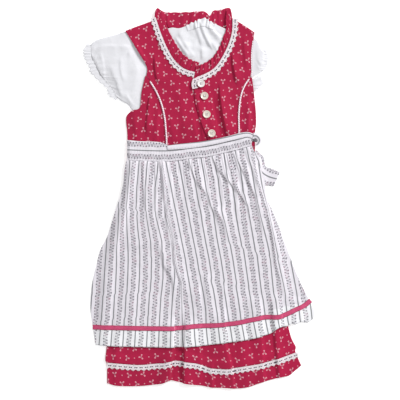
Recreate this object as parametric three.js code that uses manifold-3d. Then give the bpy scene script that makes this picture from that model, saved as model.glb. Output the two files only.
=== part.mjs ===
// A child's dirndl set laid out flat, face up: a dress, a puff-sleeved blouse inside it and an apron over it.
// Millimetres, +Z up. The set lies on z = 0 with the shoulders towards +Y; left and right are the viewer's.
import * as THREE from 'three';
import { mergeVertices } from 'three/addons/utils/BufferGeometryUtils.js';
import Module from 'manifold-3d';

const manifoldLibrary = await Module();
manifoldLibrary.setup();

// ---- Cloth thicknesses and the heights at which the layers lie ----
const wall = { dress: 1.2, blouse: 1.0, apron: 1.2, band: 2.0, trim: 1.0 };
const seamGap = 0.3;
const level = { floor: 0 };
level.blouseBack = wall.dress + seamGap;
level.blouseFront = level.blouseBack + wall.blouse + seamGap;
level.bodiceFront = level.blouseFront + wall.blouse + seamGap;
level.skirtFront = wall.dress + seamGap;
level.apron = level.skirtFront + wall.dress + 3 * seamGap;
const overlapLift = wall.dress + seamGap;

// ---- Counts of gathers and waves ----
const apronGathers = { count: 16, height: 1.1 };
const ruffleWaves = { front: 14, back: 12, height: 2.2, sway: 1.2, rootGap: 2.0 };
const cuffWaves = { left: 11, right: 5, height: 1.2, sway: 1.0 };
const neckFrillWaves = { count: 9, height: 1.4 };

// ---- Trims ----
const laceWidth = 10;
const ribbonWidth = 8;
const tuckWidth = 13;
const tuckRise = 12.6;
const pipingRadius = 1.2;
const pipingLift = 0.2;
const button = { radius: 6.9, height: 2.4, dish: 0.8, rim: 1.1, holeRadius: 0.9, holeSpread: 1.7 };

// A table with named columns: each row becomes an object with those names.
function table(columns, rows) {
  return rows.map((row) => Object.fromEntries(columns.map((name, index) => [name, row[index]])));
}
const points = (rows) => table(['x', 'y'], rows);

// ---- Dress edges, each from the bottom up or from left to right ----
const leftSide = points([
  [-130, 86.5], [-131, 118], [-132, 147], [-121, 157], [-109, 161], [-105, 190], [-98, 219],
]);
const leftArmhole = points([[-95, 233], [-112, 264], [-134, 300]]);
const leftPrincess = points([[-60, 86.5], [-61, 120], [-64, 146], [-70, 172], [-81, 196], [-96, 220]]);
const leftUnderlap = points([[32, 86.5], [20, 125], [11, 152], [4, 180], [3, 210]]);
const leftNeckline = points([
  [4, 221], [-9, 225], [-23, 230], [-37, 239], [-49, 252], [-60, 273], [-71, 297], [-82, 319],
]);
const rightSide = points([[99, 86.5], [99, 116], [101, 136], [100, 160], [98, 180], [93.5, 215]]);
const rightArmhole = points([[92, 226], [92, 240], [93, 263], [98, 297]]);
const rightPrincess = points([[72, 86.5], [70, 120], [70, 150], [74, 183], [80, 200], [90, 217]]);
const placket = points([[18, 86.5], [14, 106], [6, 125], [-3, 152], [-9, 175], [-11, 211]]);
const rightNeckline = points([
  [-11, 216], [6, 221], [21, 227], [32, 238], [44, 257], [55, 280], [60, 303], [59, 321],
]);
const backNeckline = points([[-82, 316], [-50, 304], [-10, 300], [30, 304], [59, 317]]);
const backRuffleTop = points([
  [-79, 338], [-64, 334], [-18, 334], [4, 336], [18, 329], [26, 338], [54, 341],
]);
const leftRuffleEdge = points([
  [-72, 340], [-64, 322], [-58, 304], [-43, 276], [-31, 259], [-16, 248], [-1, 243],
]);
const rightRuffleEdge = points([
  [48, 341], [46, 320], [46, 304], [41, 290], [35, 272], [24, 255], [8, 243], [-7, 237],
]);
const skirtLeft = points([
  [-167, -333], [-168, -297], [-170, -292], [-168, -267], [-162, -170], [-146, -60], [-134, 30], [-130, 86],
]);
const skirtRight = points([
  [182, -301], [174, -283], [171, -274], [172, -268], [164, -251], [142, -148], [126, -58],
  [112, 14], [100, 77], [99, 86],
]);
const skirtHem = points([
  [-167, -333], [-146, -336], [-111, -336], [-72, -332], [-57, -328], [-43, -328], [-20, -334], [12, -338],
  [53, -340], [79, -341], [118, -331], [147, -322], [167, -313], [182, -301],
]);

// ---- Blouse and sleeve edges ----
const blouseHem = points([[-100, 140], [84, 140]]);
const blouseLeft = points([[-100, 140], [-96, 164], [-85, 230], [-105, 294]]);
const blouseRight = points([[84, 140], [83, 200], [80, 240], [81, 286]]);
const blouseTop = points([
  [-105, 294], [-70, 300], [-58, 304], [-37, 305], [-15, 314], [1, 320], [17, 316], [43, 305],
  [60, 298], [81, 286],
]);
const leftSleeve = {
  armhole: points([[-97, 164], [-86, 230], [-106, 295]]),
  top: points([[-106, 295], [-122, 298], [-136, 299], [-154, 293], [-174, 288], [-188, 283], [-196, 276]]),
  bottom: points([[-97, 164], [-109, 160], [-120, 157], [-130, 168], [-141, 174], [-149, 180]]),
  cuff: points([[-149, 180], [-157, 194], [-166, 206], [-177, 220], [-188, 240], [-195, 256], [-196, 276]]),
  frill: points([[-153, 177], [-166, 190], [-174, 206], [-188, 217], [-199, 236], [-208, 252], [-205, 275]]),
};
const rightSleeve = {
  armhole: points([[84, 214], [81, 240], [82, 287]]),
  top: points([[82, 287], [99, 285], [108, 272], [117, 265]]),
  bottom: points([[84, 214], [97, 219], [107, 224]]),
  cuff: points([[107, 224], [117, 231], [121, 241], [123, 252], [117, 265]]),
  frillRoot: points([[90, 196], [91, 211]]),
  frill: points([[102, 194], [112, 204], [112, 212], [103, 216]]),
};

// ---- Apron edges ----
const apronHem = points([
  [-188, -264], [-165, -266], [-123, -267], [-72, -268], [-27, -267], [5, -265], [37, -261], [63, -258],
  [98, -252], [118, -247], [134, -240], [150, -231], [179, -224], [197, -220], [206, -211],
]);
const apronLeft = points([
  [-188, -264], [-193, -229], [-197, -196], [-194, -155], [-184, -112], [-172, -78], [-156, -38], [-142, 6],
  [-137, 40], [-130, 76],
]);
const apronRight = points([
  [206, -211], [195, -180], [179, -148], [155, -87], [139, -44], [119, 2], [116, 30], [107, 58],
  [90, 104],
]);
const apronTop = points([
  [-130, 76], [-107, 77], [-72, 75], [-27, 77], [5, 80], [28, 83], [48, 85], [60, 93], [90, 104],
]);
const bandBottom = points([
  [-131, 69], [-92, 67], [-51, 67], [-10, 73], [12, 75], [42, 81], [69, 88], [94, 94],
]);
const bandTop = points([
  [-131, 104], [-111, 102], [-72, 100], [-59, 94], [-46, 94], [-21, 97], [5, 101], [31, 106],
  [53, 111], [86, 116], [96, 114],
]);
const tieCurl = {
  outer: points([[96.5, 114], [103, 111], [109, 105], [110, 98], [106, 90]]),
  inner: points([[95, 103], [98, 104], [103, 102], [103, 97], [101, 92]]),
};
const tieRight = {
  outer: points([[101.5, 84], [110, 76], [116, 64], [119, 53], [130, 48], [144, 42]]),
  inner: points([[93, 80], [95, 60], [101, 38], [110, 25], [120, 19], [132, 17]]),
};
const tieLeft = {
  outer: points([[-124, 58], [-118, 0], [-100, -70]]),
  inner: points([[-99, 58], [-93, 0], [-76, -76]]),
};

// ---- Trim paths along their centre lines ----
const leftLacePath = points([
  [-84, 321], [-74, 293], [-62, 265], [-49, 244], [-34, 230], [-22, 225], [-12, 222],
]);
const rightLacePath = points([
  [62, 320], [62, 298], [56, 276], [43, 249], [29, 230], [12, 219], [-9, 210],
]);
const laceEndPath = points([[-9.5, 204], [-9, 196]]);
const ribbonPath = points([
  [-193, -232], [-137, -233], [-74, -234], [-36, -233], [-14, -230], [33, -228], [67, -224], [95, -218],
  [116, -214], [142, -213], [154, -209], [171, -201], [188, -193], [198, -185],
]);
const hemLacePath = points([
  [-166, -303], [-113, -306], [-60, -303], [-50, -299], [-31, -301], [2, -307], [33, -312], [67, -313],
  [102, -304], [136, -295], [175, -281],
]);
const leftPipingPath = points([[-90, 210], [-79, 192], [-69.5, 170], [-63.5, 145], [-60.8, 118], [-60, 106]]);
const rightPipingPath = points([[88.5, 214], [79.5, 200], [73.3, 182], [69.7, 151], [70, 124]]);

// ---- Large folds: soft ridges from one point to another ----
const foldColumns = ['x', 'y', 'toX', 'toY', 'width', 'height'];
const bodiceFolds = table(foldColumns, [
  [38, 200, 58, 100, 8, 1.8],
  [63, 258, 72, 200, 6, 1.1],
  [-92, 262, -80, 206, 7, 1.3],
  [-104, 165, -114, 96, 8, 1.3],
  [-42, 206, -24, 100, 13, 1.2],
  [-120, 285, -84, 228, 9, 0.9],
]);
const skirtFolds = table(foldColumns, [
  [-59, -400, -66, -150, 9, 2.0],
  [-21, -400, -18, -150, 9, 2.0],
  [-112, -400, -104, -160, 18, 1.4],
  [14, -400, 8, -150, 9, 1.6],
  [46, -400, 40, -170, 10, 1.6],
  [86, -400, 74, -160, 13, 1.6],
  [126, -400, 108, -180, 11, 1.8],
  [157, -380, 132, -180, 8, 1.6],
]);
const apronFolds = table(foldColumns, [
  [-8, 70, 74, -130, 12, 2.0],
  [34, 80, 132, -140, 13, 2.0],
  [-52, 70, -104, -160, 13, 1.8],
  [-96, 70, -160, -150, 13, 1.5],
  [-60, -30, -16, -190, 12, 1.8],
  [90, -60, 176, -220, 13, 1.8],
  [20, -90, 40, -250, 14, 1.4],
  [-146, -100, -160, -268, 14, 1.4],
]);

// ---- Curves and patches ----
function curveThrough(...tables) {
  const through = tables.flat().map(({ x, y }) => new THREE.Vector3(x, y, 0));
  return new THREE.CatmullRomCurve3(through, false, 'centripetal');
}

// Fills the space between four edges: u runs from left to right, v from bottom to top.
function patch({ bottom, top, left, right }) {
  const corner = [bottom.getPointAt(0), bottom.getPointAt(1), top.getPointAt(0), top.getPointAt(1)];
  return (u, v) => {
    const place = bottom.getPointAt(u).multiplyScalar(1 - v);
    place.addScaledVector(top.getPointAt(u), v);
    place.addScaledVector(left.getPointAt(v), 1 - u);
    place.addScaledVector(right.getPointAt(v), u);
    place.addScaledVector(corner[0], -(1 - u) * (1 - v));
    place.addScaledVector(corner[1], -u * (1 - v));
    place.addScaledVector(corner[2], -(1 - u) * v);
    place.addScaledVector(corner[3], -u * v);
    return place;
  };
}

// Fills the space between two long edges, v = 0 on the first and v = 1 on the second.
function band(first, second) {
  return (u, v) => first.getPointAt(u).lerp(second.getPointAt(u), v);
}

// A strip of constant width along a path.
function strip(path, width) {
  return (u, v) => {
    const along = path.getTangentAt(u);
    const place = path.getPointAt(u);
    place.x -= along.y * width * (v - 0.5);
    place.y += along.x * width * (v - 0.5);
    return place;
  };
}

const ease = (value, from, to) => THREE.MathUtils.smoothstep(value, from, to);
const mix = THREE.MathUtils.lerp;

// The x of an edge at a height, for edges that rise all the way.
function edgeAt(edge, y) {
  if (y <= edge[0].y) return edge[0].x;
  const next = edge.findIndex((row) => row.y >= y);
  if (next < 0) return edge[edge.length - 1].x;
  const low = edge[next - 1];
  const high = edge[next];
  return mix(low.x, high.x, (y - low.y) / (high.y - low.y));
}

function foldHeight(folds, x, y) {
  let height = 0;
  for (const fold of folds) {
    const length = Math.hypot(fold.toX - fold.x, fold.toY - fold.y);
    const direction = { x: (fold.toX - fold.x) / length, y: (fold.toY - fold.y) / length };
    const along = ((x - fold.x) * direction.x + (y - fold.y) * direction.y) / length;
    const aside = (x - fold.x) * direction.y - (y - fold.y) * direction.x;
    const ends = ease(along, 0, 0.3) * (1 - ease(along, 0.7, 1));
    height += fold.height * Math.exp(-((aside / fold.width) ** 2)) * ends;
  }
  return height;
}

// ---- Closed walls ----
function closedGeometry(vertices, faces) {
  let volume = 0;
  for (const [a, b, c] of faces) {
    volume += vertices[a].dot(new THREE.Vector3().crossVectors(vertices[b], vertices[c]));
  }
  const outward = volume > 0 ? faces : faces.map(([a, b, c]) => [a, c, b]);
  const geometry = new THREE.BufferGeometry();
  geometry.setFromPoints(vertices);
  geometry.setIndex(outward.flat());
  geometry.computeVertexNormals();
  return geometry;
}

function addQuad(faces, a, b, c, d) {
  faces.push([a, b, c], [a, c, d]);
}

// One layer of cloth: place gives x and y, top gives the height of its upper side.
function clothWall({ place, top, thickness, columns, rows }) {
  const vertices = [];
  const faces = [];
  const count = (columns + 1) * (rows + 1);
  for (const drop of [0, thickness]) {
    for (let row = 0; row <= rows; row += 1) {
      for (let column = 0; column <= columns; column += 1) {
        const u = column / columns;
        const v = row / rows;
        const vertex = place(u, v);
        vertex.z = top(vertex.x, vertex.y, u, v) - drop;
        vertices.push(vertex);
      }
    }
  }
  const at = (column, row) => row * (columns + 1) + column;
  for (let row = 0; row < rows; row += 1) {
    for (let column = 0; column < columns; column += 1) {
      const corners = [at(column, row), at(column + 1, row), at(column + 1, row + 1), at(column, row + 1)];
      addQuad(faces, ...corners);
      addQuad(faces, ...corners.map((index) => index + count).reverse());
    }
  }
  const border = [];
  for (let column = 0; column < columns; column += 1) border.push(at(column, 0));
  for (let row = 0; row < rows; row += 1) border.push(at(columns, row));
  for (let column = columns; column > 0; column -= 1) border.push(at(column, rows));
  for (let row = rows; row > 0; row -= 1) border.push(at(0, row));
  border.forEach((from, index) => {
    const to = border[(index + 1) % border.length];
    addQuad(faces, from, from + count, to + count, to);
  });
  return closedGeometry(vertices, faces);
}

// A tube pressed flat: v runs across it from fold to fold, u along it between its two open ends.
function flatTube({ place, upper, lower, thickness, width, across, along }) {
  const vertices = [];
  const faces = [];
  const ring = 2 * (across + 1);
  const inset = thickness / width;
  for (const inner of [0, 1]) {
    for (let step = 0; step <= along; step += 1) {
      for (let index = 0; index < ring; index += 1) {
        const onTop = index <= across;
        const share = onTop ? index / across : (ring - 1 - index) / across;
        const u = step / along;
        const v = inner ? mix(inset, 1 - inset, share) : share;
        const vertex = place(u, v);
        const surface = onTop ? upper(vertex.x, vertex.y, u, share) : lower(vertex.x, vertex.y, u, share);
        vertex.z = surface + (onTop ? -1 : 1) * inner * thickness;
        vertices.push(vertex);
      }
    }
  }
  const count = ring * (along + 1);
  for (let index = 0; index < ring; index += 1) {
    const next = (index + 1) % ring;
    for (let step = 0; step < along; step += 1) {
      const near = step * ring;
      const far = near + ring;
      const corners = [near + index, near + next, far + next, far + index];
      addQuad(faces, ...corners);
      addQuad(faces, ...corners.map((corner) => corner + count).reverse());
    }
    addQuad(faces, next, index, index + count, next + count);
    const end = along * ring;
    addQuad(faces, end + index, end + next, end + next + count, end + index + count);
  }
  return closedGeometry(vertices, faces);
}

// A flat layer cut to the border of a patch, a little inside it.
function flatPanel({ place, bottom, thickness, steps, inset }) {
  const at = (share) => mix(inset, 1 - inset, share);
  const outline = [];
  const sides = [(s) => [s, 0], (s) => [1, s], (s) => [1 - s, 1], (s) => [0, 1 - s]];
  for (const side of sides) {
    for (let step = 0; step < steps; step += 1) {
      const [u, v] = side(step / steps);
      const { x, y } = place(at(u), at(v));
      outline.push(new THREE.Vector2(x, y));
    }
  }
  const settings = { depth: thickness, bevelEnabled: false };
  return new THREE.ExtrudeGeometry(new THREE.Shape(outline), settings).translate(0, 0, bottom);
}

// ---- Heights of the layers ----
// The underside of the bodice front: up over the blouse, down to the back at the side seams and the waist.
function bodiceRest(x, y) {
  const leftLift = Math.max(ease(x, -129, -117), ease(y, 149, 158));
  const rightLift = Math.max(1 - ease(x, 86, 97), ease(y, 176, 194));
  const waistLift = ease(y, 96, 134);
  return mix(level.skirtFront, level.bodiceFront, leftLift * rightLift * waistLift);
}

function bodiceTop(x, y) {
  return bodiceRest(x, y) + wall.dress + foldHeight(bodiceFolds, x, y);
}

// The right front lies over the left one along the placket.
function rightFrontTop(x, y) {
  const overlap = 1 - ease(x - edgeAt(placket, y), 17, 29);
  const nearCentre = 1 - ease(y, 226, 240);
  return bodiceTop(x, y) + overlapLift * overlap * nearCentre;
}

function skirtTop(x, y) {
  const inside = Math.min(x - edgeAt(skirtLeft, y), edgeAt(skirtRight, y) - x);
  return level.skirtFront + wall.dress + foldHeight(skirtFolds, x, y) * ease(inside, 0, 12);
}

// Room under the apron for its two ties.
function tieLift(x, y) {
  const left = ease(x, -140, -126) * (1 - ease(x, -74, -60)) * ease(y, -96, -80) * (1 - ease(y, 60, 74));
  const right = ease(x, 76, 90) * ease(y, -4, 12) * (1 - ease(y, 86, 98));
  return (wall.trim + seamGap) * Math.max(left, right);
}

// The apron lies on the skirt and sinks to the floor beyond the skirt's sides.
function apronRest(x, y) {
  const outside = Math.max(edgeAt(skirtLeft, y) - x, x - edgeAt(skirtRight, y));
  const beyond = ease(outside, 8, 24);
  const onSkirt = level.apron + (skirtTop(x, y) - level.skirtFront - wall.dress);
  return mix(onSkirt, level.floor, beyond) + tieLift(x, y) * (1 - beyond);
}

function apronTopAt(x, y, u, v) {
  const phase = apronGathers.count * u + 0.25 * Math.sin(5 * Math.PI * u);
  const gather = apronGathers.height * (0.5 + 0.5 * Math.cos(2 * Math.PI * phase)) * ease(v, 0.55, 0.9);
  const inside = Math.min(u, 1 - u);
  return apronRest(x, y) + wall.apron + gather + foldHeight(apronFolds, x, y) * ease(inside, 0, 0.06);
}

const overApron = (x, y) => apronRest(x, y) + wall.apron + foldHeight(apronFolds, x, y);

// The waistband lies over the gathered top of the apron.
const bandLevel = level.apron + wall.apron + apronGathers.height + 2 * seamGap + wall.band;

const openingMiddle = { x: -3, y: 283, halfWidth: 42, halfHeight: 34 };
function blouseFrontTop(x, y) {
  const fromMiddle = Math.hypot(
    (x - openingMiddle.x) / openingMiddle.halfWidth,
    (y - openingMiddle.y) / openingMiddle.halfHeight,
  );
  const crumple = 0.5 + 0.5 * Math.sin(0.16 * x + 0.21 * y) * Math.sin(0.13 * x - 0.09 * y + 1);
  return level.blouseFront + wall.blouse + 2.4 * crumple * (1 - ease(fromMiddle, 0.5, 1));
}

// Beyond the armhole the sleeve sinks to the floor and its upper side puffs up.
function outsideArmhole(x, y) {
  const leftEdge = edgeAt([...leftSide.slice(4), ...leftArmhole], y);
  const rightEdge = edgeAt([...rightSide, ...rightArmhole], y);
  return x < 0 ? leftEdge - x : x - rightEdge;
}
function sleeveLower(x, y) {
  return level.blouseBack * (1 - ease(outsideArmhole(x, y), 5, 18));
}
function sleeveUpper(x, y, u, v) {
  const puff = ease(outsideArmhole(x, y), 5, 20) * Math.sin(Math.PI * v) * (1 - 0.5 * ease(u, 0.8, 1));
  const creases = 0.5 * Math.sin(9 * v + 5 * u) + 0.35 * Math.sin(17 * v - 4 * u);
  return sleeveLower(x, y) + 2 * wall.blouse + seamGap + puff * (2.5 + creases);
}

// ---- Dress ----
function bodicePanel(place, columns, rows, top = bodiceTop) {
  return clothWall({ place, top, thickness: wall.dress, columns, rows });
}

function lineBetween(from, to) {
  return new THREE.LineCurve3(new THREE.Vector3(from.x, from.y, 0), new THREE.Vector3(to.x, to.y, 0));
}

function frontPatch(left, right) {
  const bottom = lineBetween(left.getPointAt(0), right.getPointAt(0));
  return patch({ left, right, bottom, top: lineBetween(left.getPointAt(1), right.getPointAt(1)) });
}

const shifted = (edge, byX) => edge.map(({ x, y }) => ({ x: x + byX, y }));
const sideGap = 1.2;

function makeBodice() {
  const backLeft = curveThrough(leftSide, leftArmhole);
  const backRight = curveThrough(rightSide, rightArmhole);
  const backTop = curveThrough([leftArmhole.at(-1)], backNeckline, [rightArmhole.at(-1)]);
  const waist = lineBetween(leftSide[0], rightSide[0]);
  const back = patch({ left: backLeft, right: backRight, bottom: waist, top: backTop });
  const frontLeft = frontPatch(
    curveThrough(leftPrincess, leftArmhole),
    curveThrough(leftUnderlap, leftNeckline),
  );
  const frontRight = frontPatch(
    curveThrough(placket, rightNeckline),
    curveThrough(rightPrincess, rightArmhole),
  );
  const sideLeft = frontPatch(curveThrough(leftSide), curveThrough(shifted(leftPrincess, -sideGap)));
  const sideRight = frontPatch(curveThrough(shifted(rightPrincess, sideGap)), curveThrough(rightSide));
  return {
    bodice_back: flatPanel({
      place: back, bottom: level.floor, thickness: wall.dress, steps: 12, inset: 0.006,
    }),
    bodice_front_left: bodicePanel(frontLeft, 9, 14),
    bodice_side_left: bodicePanel(sideLeft, 5, 9),
    bodice_front_right: bodicePanel(frontRight, 9, 14, rightFrontTop),
    bodice_side_right: bodicePanel(sideRight, 4, 9),
  };
}

function ruffle({ root, edge, base, waves, columns, overlap }) {
  const inner = curveThrough(root);
  const outer = curveThrough(edge);
  const beat = (u) => Math.sin(2 * Math.PI * (waves * u + 0.2 * Math.sin(3 * Math.PI * u)));
  const calm = (u) => ease(u, 0, 0.06) * (1 - ease(u, 0.9, 1));
  const flat = band(inner, outer);
  const place = (u, v) => {
    const across = outer.getPointAt(u).sub(inner.getPointAt(u)).normalize();
    const sway = ruffleWaves.sway * v * beat(u) * calm(u);
    return flat(u, v).addScaledVector(across, ruffleWaves.rootGap * (1 - v) + sway);
  };
  const top = (x, y, u, v) => {
    const wave = ruffleWaves.height * v * (0.5 + 0.5 * beat(u)) * calm(u);
    return base + wall.dress + wave * (0.35 + 0.65 * v) + overlap(x, y);
  };
  return clothWall({ place, top, thickness: wall.dress, columns, rows: 2 });
}

function makeRuffles() {
  const flatLie = () => 0;
  const overLeft = (x) => (overlapLift + seamGap) * (1 - ease(x, 4, 18));
  return {
    neck_ruffle_back: ruffle({
      root: backNeckline, edge: backRuffleTop, base: level.floor, waves: ruffleWaves.back,
      columns: 4 * ruffleWaves.back, overlap: flatLie,
    }),
    neck_ruffle_left: ruffle({
      root: [...leftNeckline.slice(1)].reverse(), edge: leftRuffleEdge, base: level.bodiceFront,
      waves: ruffleWaves.front, columns: 4 * ruffleWaves.front, overlap: flatLie,
    }),
    neck_ruffle_right: ruffle({
      root: [...rightNeckline].reverse(), edge: rightRuffleEdge, base: level.bodiceFront,
      waves: ruffleWaves.front, columns: 4 * ruffleWaves.front, overlap: overLeft,
    }),
  };
}

// A flat trim that follows the surface under it.
function trim(path, width, under, columns, rows = 1) {
  const top = (x, y) => under(x, y) + seamGap + wall.trim;
  return clothWall({ place: strip(curveThrough(path), width), top, thickness: wall.trim, columns, rows });
}

function piping(path) {
  const spine = path.map(({ x, y }) => {
    const height = bodiceTop(x, y) + seamGap + pipingLift + pipingRadius;
    return new THREE.Vector3(x, y, height);
  });
  const section = new THREE.Shape();
  section.absellipse(0, 0, pipingRadius, pipingRadius, 0, 2 * Math.PI);
  const extrudePath = new THREE.CatmullRomCurve3(spine);
  const settings = { steps: 12, curveSegments: 6, extrudePath, bevelEnabled: false };
  return new THREE.ExtrudeGeometry(section, settings);
}

function makeTrims() {
  const rightLace = (x, y) => rightFrontTop(x, y) + 2 * seamGap;
  const leftLace = (x, y) => bodiceTop(x, y) + seamGap;
  const overSkirt = (x, y) => skirtTop(x, y) + seamGap;
  return {
    neck_lace_left: trim(leftLacePath, laceWidth, leftLace, 24),
    neck_lace_right: trim([...rightLacePath, ...laceEndPath], laceWidth, rightLace, 28),
    piping_left: piping(leftPipingPath),
    piping_right: piping(rightPipingPath),
    hem_lace: trim(hemLacePath, laceWidth, overSkirt, 44),
    skirt_tuck: trim(hemLacePath.map(({ x, y }) => ({ x, y: y + tuckRise })), tuckWidth, overSkirt, 44),
  };
}

function toSolid(geometry) {
  const plain = geometry.clone();
  plain.deleteAttribute('normal');
  plain.deleteAttribute('uv');
  const merged = mergeVertices(plain, 1e-4);
  const vertProperties = new Float32Array(merged.attributes.position.array);
  const triVerts = new Uint32Array(merged.index.array);
  return new manifoldLibrary.Manifold(new manifoldLibrary.Mesh({ numProp: 3, vertProperties, triVerts }));
}

function fromSolid(solid) {
  const { vertProperties, triVerts } = solid.getMesh();
  const geometry = new THREE.BufferGeometry();
  geometry.setAttribute('position', new THREE.BufferAttribute(new Float32Array(vertProperties), 3));
  geometry.setIndex(new THREE.BufferAttribute(new Uint32Array(triVerts), 1));
  geometry.computeVertexNormals();
  return geometry;
}

function buttonGeometry() {
  const { radius, height, dish, rim, holeRadius, holeSpread } = button;
  const profile = [
    [0, 0], [radius - 0.8, 0], [radius, 0.8], [radius, height - 0.5], [radius - 0.4, height],
    [radius - rim, height], [radius - rim - 0.9, height - dish], [0, height - dish],
  ].map(([x, y]) => new THREE.Vector2(x, y));
  let solid = toSolid(new THREE.LatheGeometry(profile, 18).rotateX(Math.PI / 2));
  for (let hole = 0; hole < 4; hole += 1) {
    const angle = Math.PI / 4 + (hole * Math.PI) / 2;
    const cutter = new THREE.CylinderGeometry(holeRadius, holeRadius, 4 * height, 8).rotateX(Math.PI / 2);
    cutter.translate(holeSpread * Math.cos(angle), holeSpread * Math.sin(angle), 0);
    solid = solid.subtract(toSolid(cutter));
  }
  return fromSolid(solid);
}

const buttonRows = table(['x', 'y', 'lift'], [[2, 205, 1.6], [8, 183, 0], [12, 150, 0], [21, 116, 0]]);

function makeSkirt() {
  const left = curveThrough(skirtLeft);
  const right = curveThrough(skirtRight);
  const waist = lineBetween(skirtLeft.at(-1), skirtRight.at(-1));
  const place = patch({ left, right, bottom: curveThrough(skirtHem), top: waist });
  return {
    skirt_back: flatPanel({ place, bottom: level.floor, thickness: wall.dress, steps: 16, inset: 0.005 }),
    skirt_front: clothWall({ place, top: skirtTop, thickness: wall.dress, columns: 52, rows: 8 }),
  };
}

// ---- Blouse ----
const frillSpan = 0.9;

function makeBlouse() {
  const hem = curveThrough(blouseHem);
  const left = curveThrough(shifted(blouseLeft, 2 * seamGap));
  const right = curveThrough(blouseRight);
  const front = patch({ left, right, bottom: hem, top: curveThrough(blouseTop) });
  const back = patch({ left, right, bottom: hem, top: lineBetween(left.getPointAt(1), right.getPointAt(1)) });
  const belowEdge = (drop) => curveThrough(
    blouseTop.slice(2, 8).map(({ x, y }) => ({ x: frillSpan * x - 1, y: y - drop })),
  );
  const frillRoot = belowEdge(9);
  const frillEdge = belowEdge(1);
  const frillTop = (x, y, u, v) => {
    const wave = neckFrillWaves.height * (0.5 + 0.5 * Math.cos(2 * Math.PI * neckFrillWaves.count * u));
    const calm = ease(u, 0, 0.08) * (1 - ease(u, 0.92, 1));
    return blouseFrontTop(x, y) + 3 * seamGap + wall.blouse + wave * v * calm;
  };
  return {
    blouse_back: flatPanel({
      place: back, bottom: level.blouseBack, thickness: wall.blouse, steps: 8, inset: 0.002,
    }),
    blouse_front: clothWall({
      place: front, top: blouseFrontTop, thickness: wall.blouse, columns: 16, rows: 13,
    }),
    blouse_neck_frill: clothWall({
      place: band(frillRoot, frillEdge), top: frillTop, thickness: wall.blouse,
      columns: 4 * neckFrillWaves.count, rows: 1,
    }),
  };
}

function sleeveGeometry(edges, width, across, along) {
  const place = patch({
    bottom: curveThrough(edges.bottom), top: curveThrough(edges.top),
    left: curveThrough(edges.armhole), right: curveThrough(edges.cuff),
  });
  return flatTube({
    place, upper: sleeveUpper, lower: sleeveLower, thickness: wall.blouse, width, across, along,
  });
}

function makeSleeves() {
  const cuffGap = 0.4;
  const root = curveThrough(leftSleeve.cuff);
  const edge = curveThrough(leftSleeve.frill);
  const beat = (v) => Math.sin(2 * Math.PI * (cuffWaves.left * v + 0.15 * Math.sin(9 * v)));
  const place = (u, v) => {
    const across = edge.getPointAt(v).sub(root.getPointAt(v));
    const reach = across.length();
    const out = cuffGap + (reach - cuffGap + cuffWaves.sway * beat(v)) * u;
    return root.getPointAt(v).addScaledVector(across.normalize(), out);
  };
  const upper = (x, y, u, v) => 2 * wall.blouse + seamGap + 0.5 + cuffWaves.height * u * (1 + beat(v)) * 0.5;
  const frillRightPlace = band(curveThrough(rightSleeve.frillRoot), curveThrough(rightSleeve.frill));
  const frillRightTop = (x, y, u, v) => {
    const wave = 0.5 + 0.5 * Math.cos(2 * Math.PI * cuffWaves.right * u);
    return sleeveLower(x, y) + wall.blouse + cuffWaves.height * wave * v;
  };
  return {
    sleeve_left: sleeveGeometry(leftSleeve, 110, 10, 9),
    cuff_frill_left: flatTube({
      place, upper, lower: () => level.floor, thickness: wall.blouse, width: 110,
      across: 4 * cuffWaves.left, along: 1,
    }),
    sleeve_right: sleeveGeometry(rightSleeve, 50, 7, 5),
    cuff_frill_right: clothWall({
      place: frillRightPlace, top: frillRightTop, thickness: wall.blouse,
      columns: 4 * cuffWaves.right, rows: 2,
    }),
  };
}

// ---- Apron ----
function tieTop(x, y) {
  const beyond = ease(Math.max(edgeAt(skirtLeft, y) - x, x - edgeAt(skirtRight, y)), 2, 16);
  return mix(skirtTop(x, y) + seamGap, level.floor, beyond) + wall.trim;
}

function curlTop(x, y, u) {
  return mix(bandLevel, level.skirtFront + wall.dress + 1.4 + wall.trim, ease(u, 0.1, 1));
}

function makeApron() {
  const place = patch({
    left: curveThrough(apronLeft), right: curveThrough(apronRight),
    bottom: curveThrough(apronHem), top: curveThrough(apronTop),
  });
  const tie = (edges, top, columns, rows) => clothWall({
    place: band(curveThrough(edges.inner), curveThrough(edges.outer)),
    top, thickness: wall.trim, columns, rows,
  });
  return {
    apron_skirt: clothWall({
      place, top: apronTopAt, thickness: wall.apron, columns: 4 * apronGathers.count, rows: 13,
    }),
    apron_ribbon: trim(ribbonPath, ribbonWidth, (x, y) => overApron(x, y) + seamGap, 40),
    apron_waistband: clothWall({
      place: band(curveThrough(bandBottom), curveThrough(bandTop)), top: () => bandLevel,
      thickness: wall.band, columns: 34, rows: 2,
    }),
    apron_tie_curl: tie(tieCurl, curlTop, 10, 2),
    apron_tie_right: tie(tieRight, tieTop, 12, 3),
    apron_tie_left: tie(tieLeft, tieTop, 8, 1),
  };
}

// ---- The set, each piece in its own mesh ----
const cloth = (color, roughness = 0.9) => new THREE.MeshStandardMaterial({ color, roughness, metalness: 0 });
const materialOf = {
  dress: cloth(0xb42a50),
  blouse: cloth(0xe8e7ee),
  apron: cloth(0xe6e1e8),
  ribbon: cloth(0xc75a80, 0.7),
  lace: cloth(0xf3e4ea),
  piping: cloth(0xf0dde4, 0.8),
  button: cloth(0xece0d6, 0.35),
};

const group = new THREE.Group();

function addPieces(pieces, materialName) {
  for (const [name, geometry] of Object.entries(pieces)) {
    const mesh = new THREE.Mesh(geometry, materialOf[materialName(name)]);
    mesh.name = name;
    group.add(mesh);
  }
}

function addButtons() {
  buttonRows.forEach(({ x, y, lift }, index) => {
    const mesh = new THREE.Mesh(buttonGeometry(), materialOf.button);
    mesh.name = `button_${index + 1}`;
    mesh.position.set(x, y, rightFrontTop(x, y) + 2 * seamGap + lift);
    group.add(mesh);
  });
}

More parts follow.
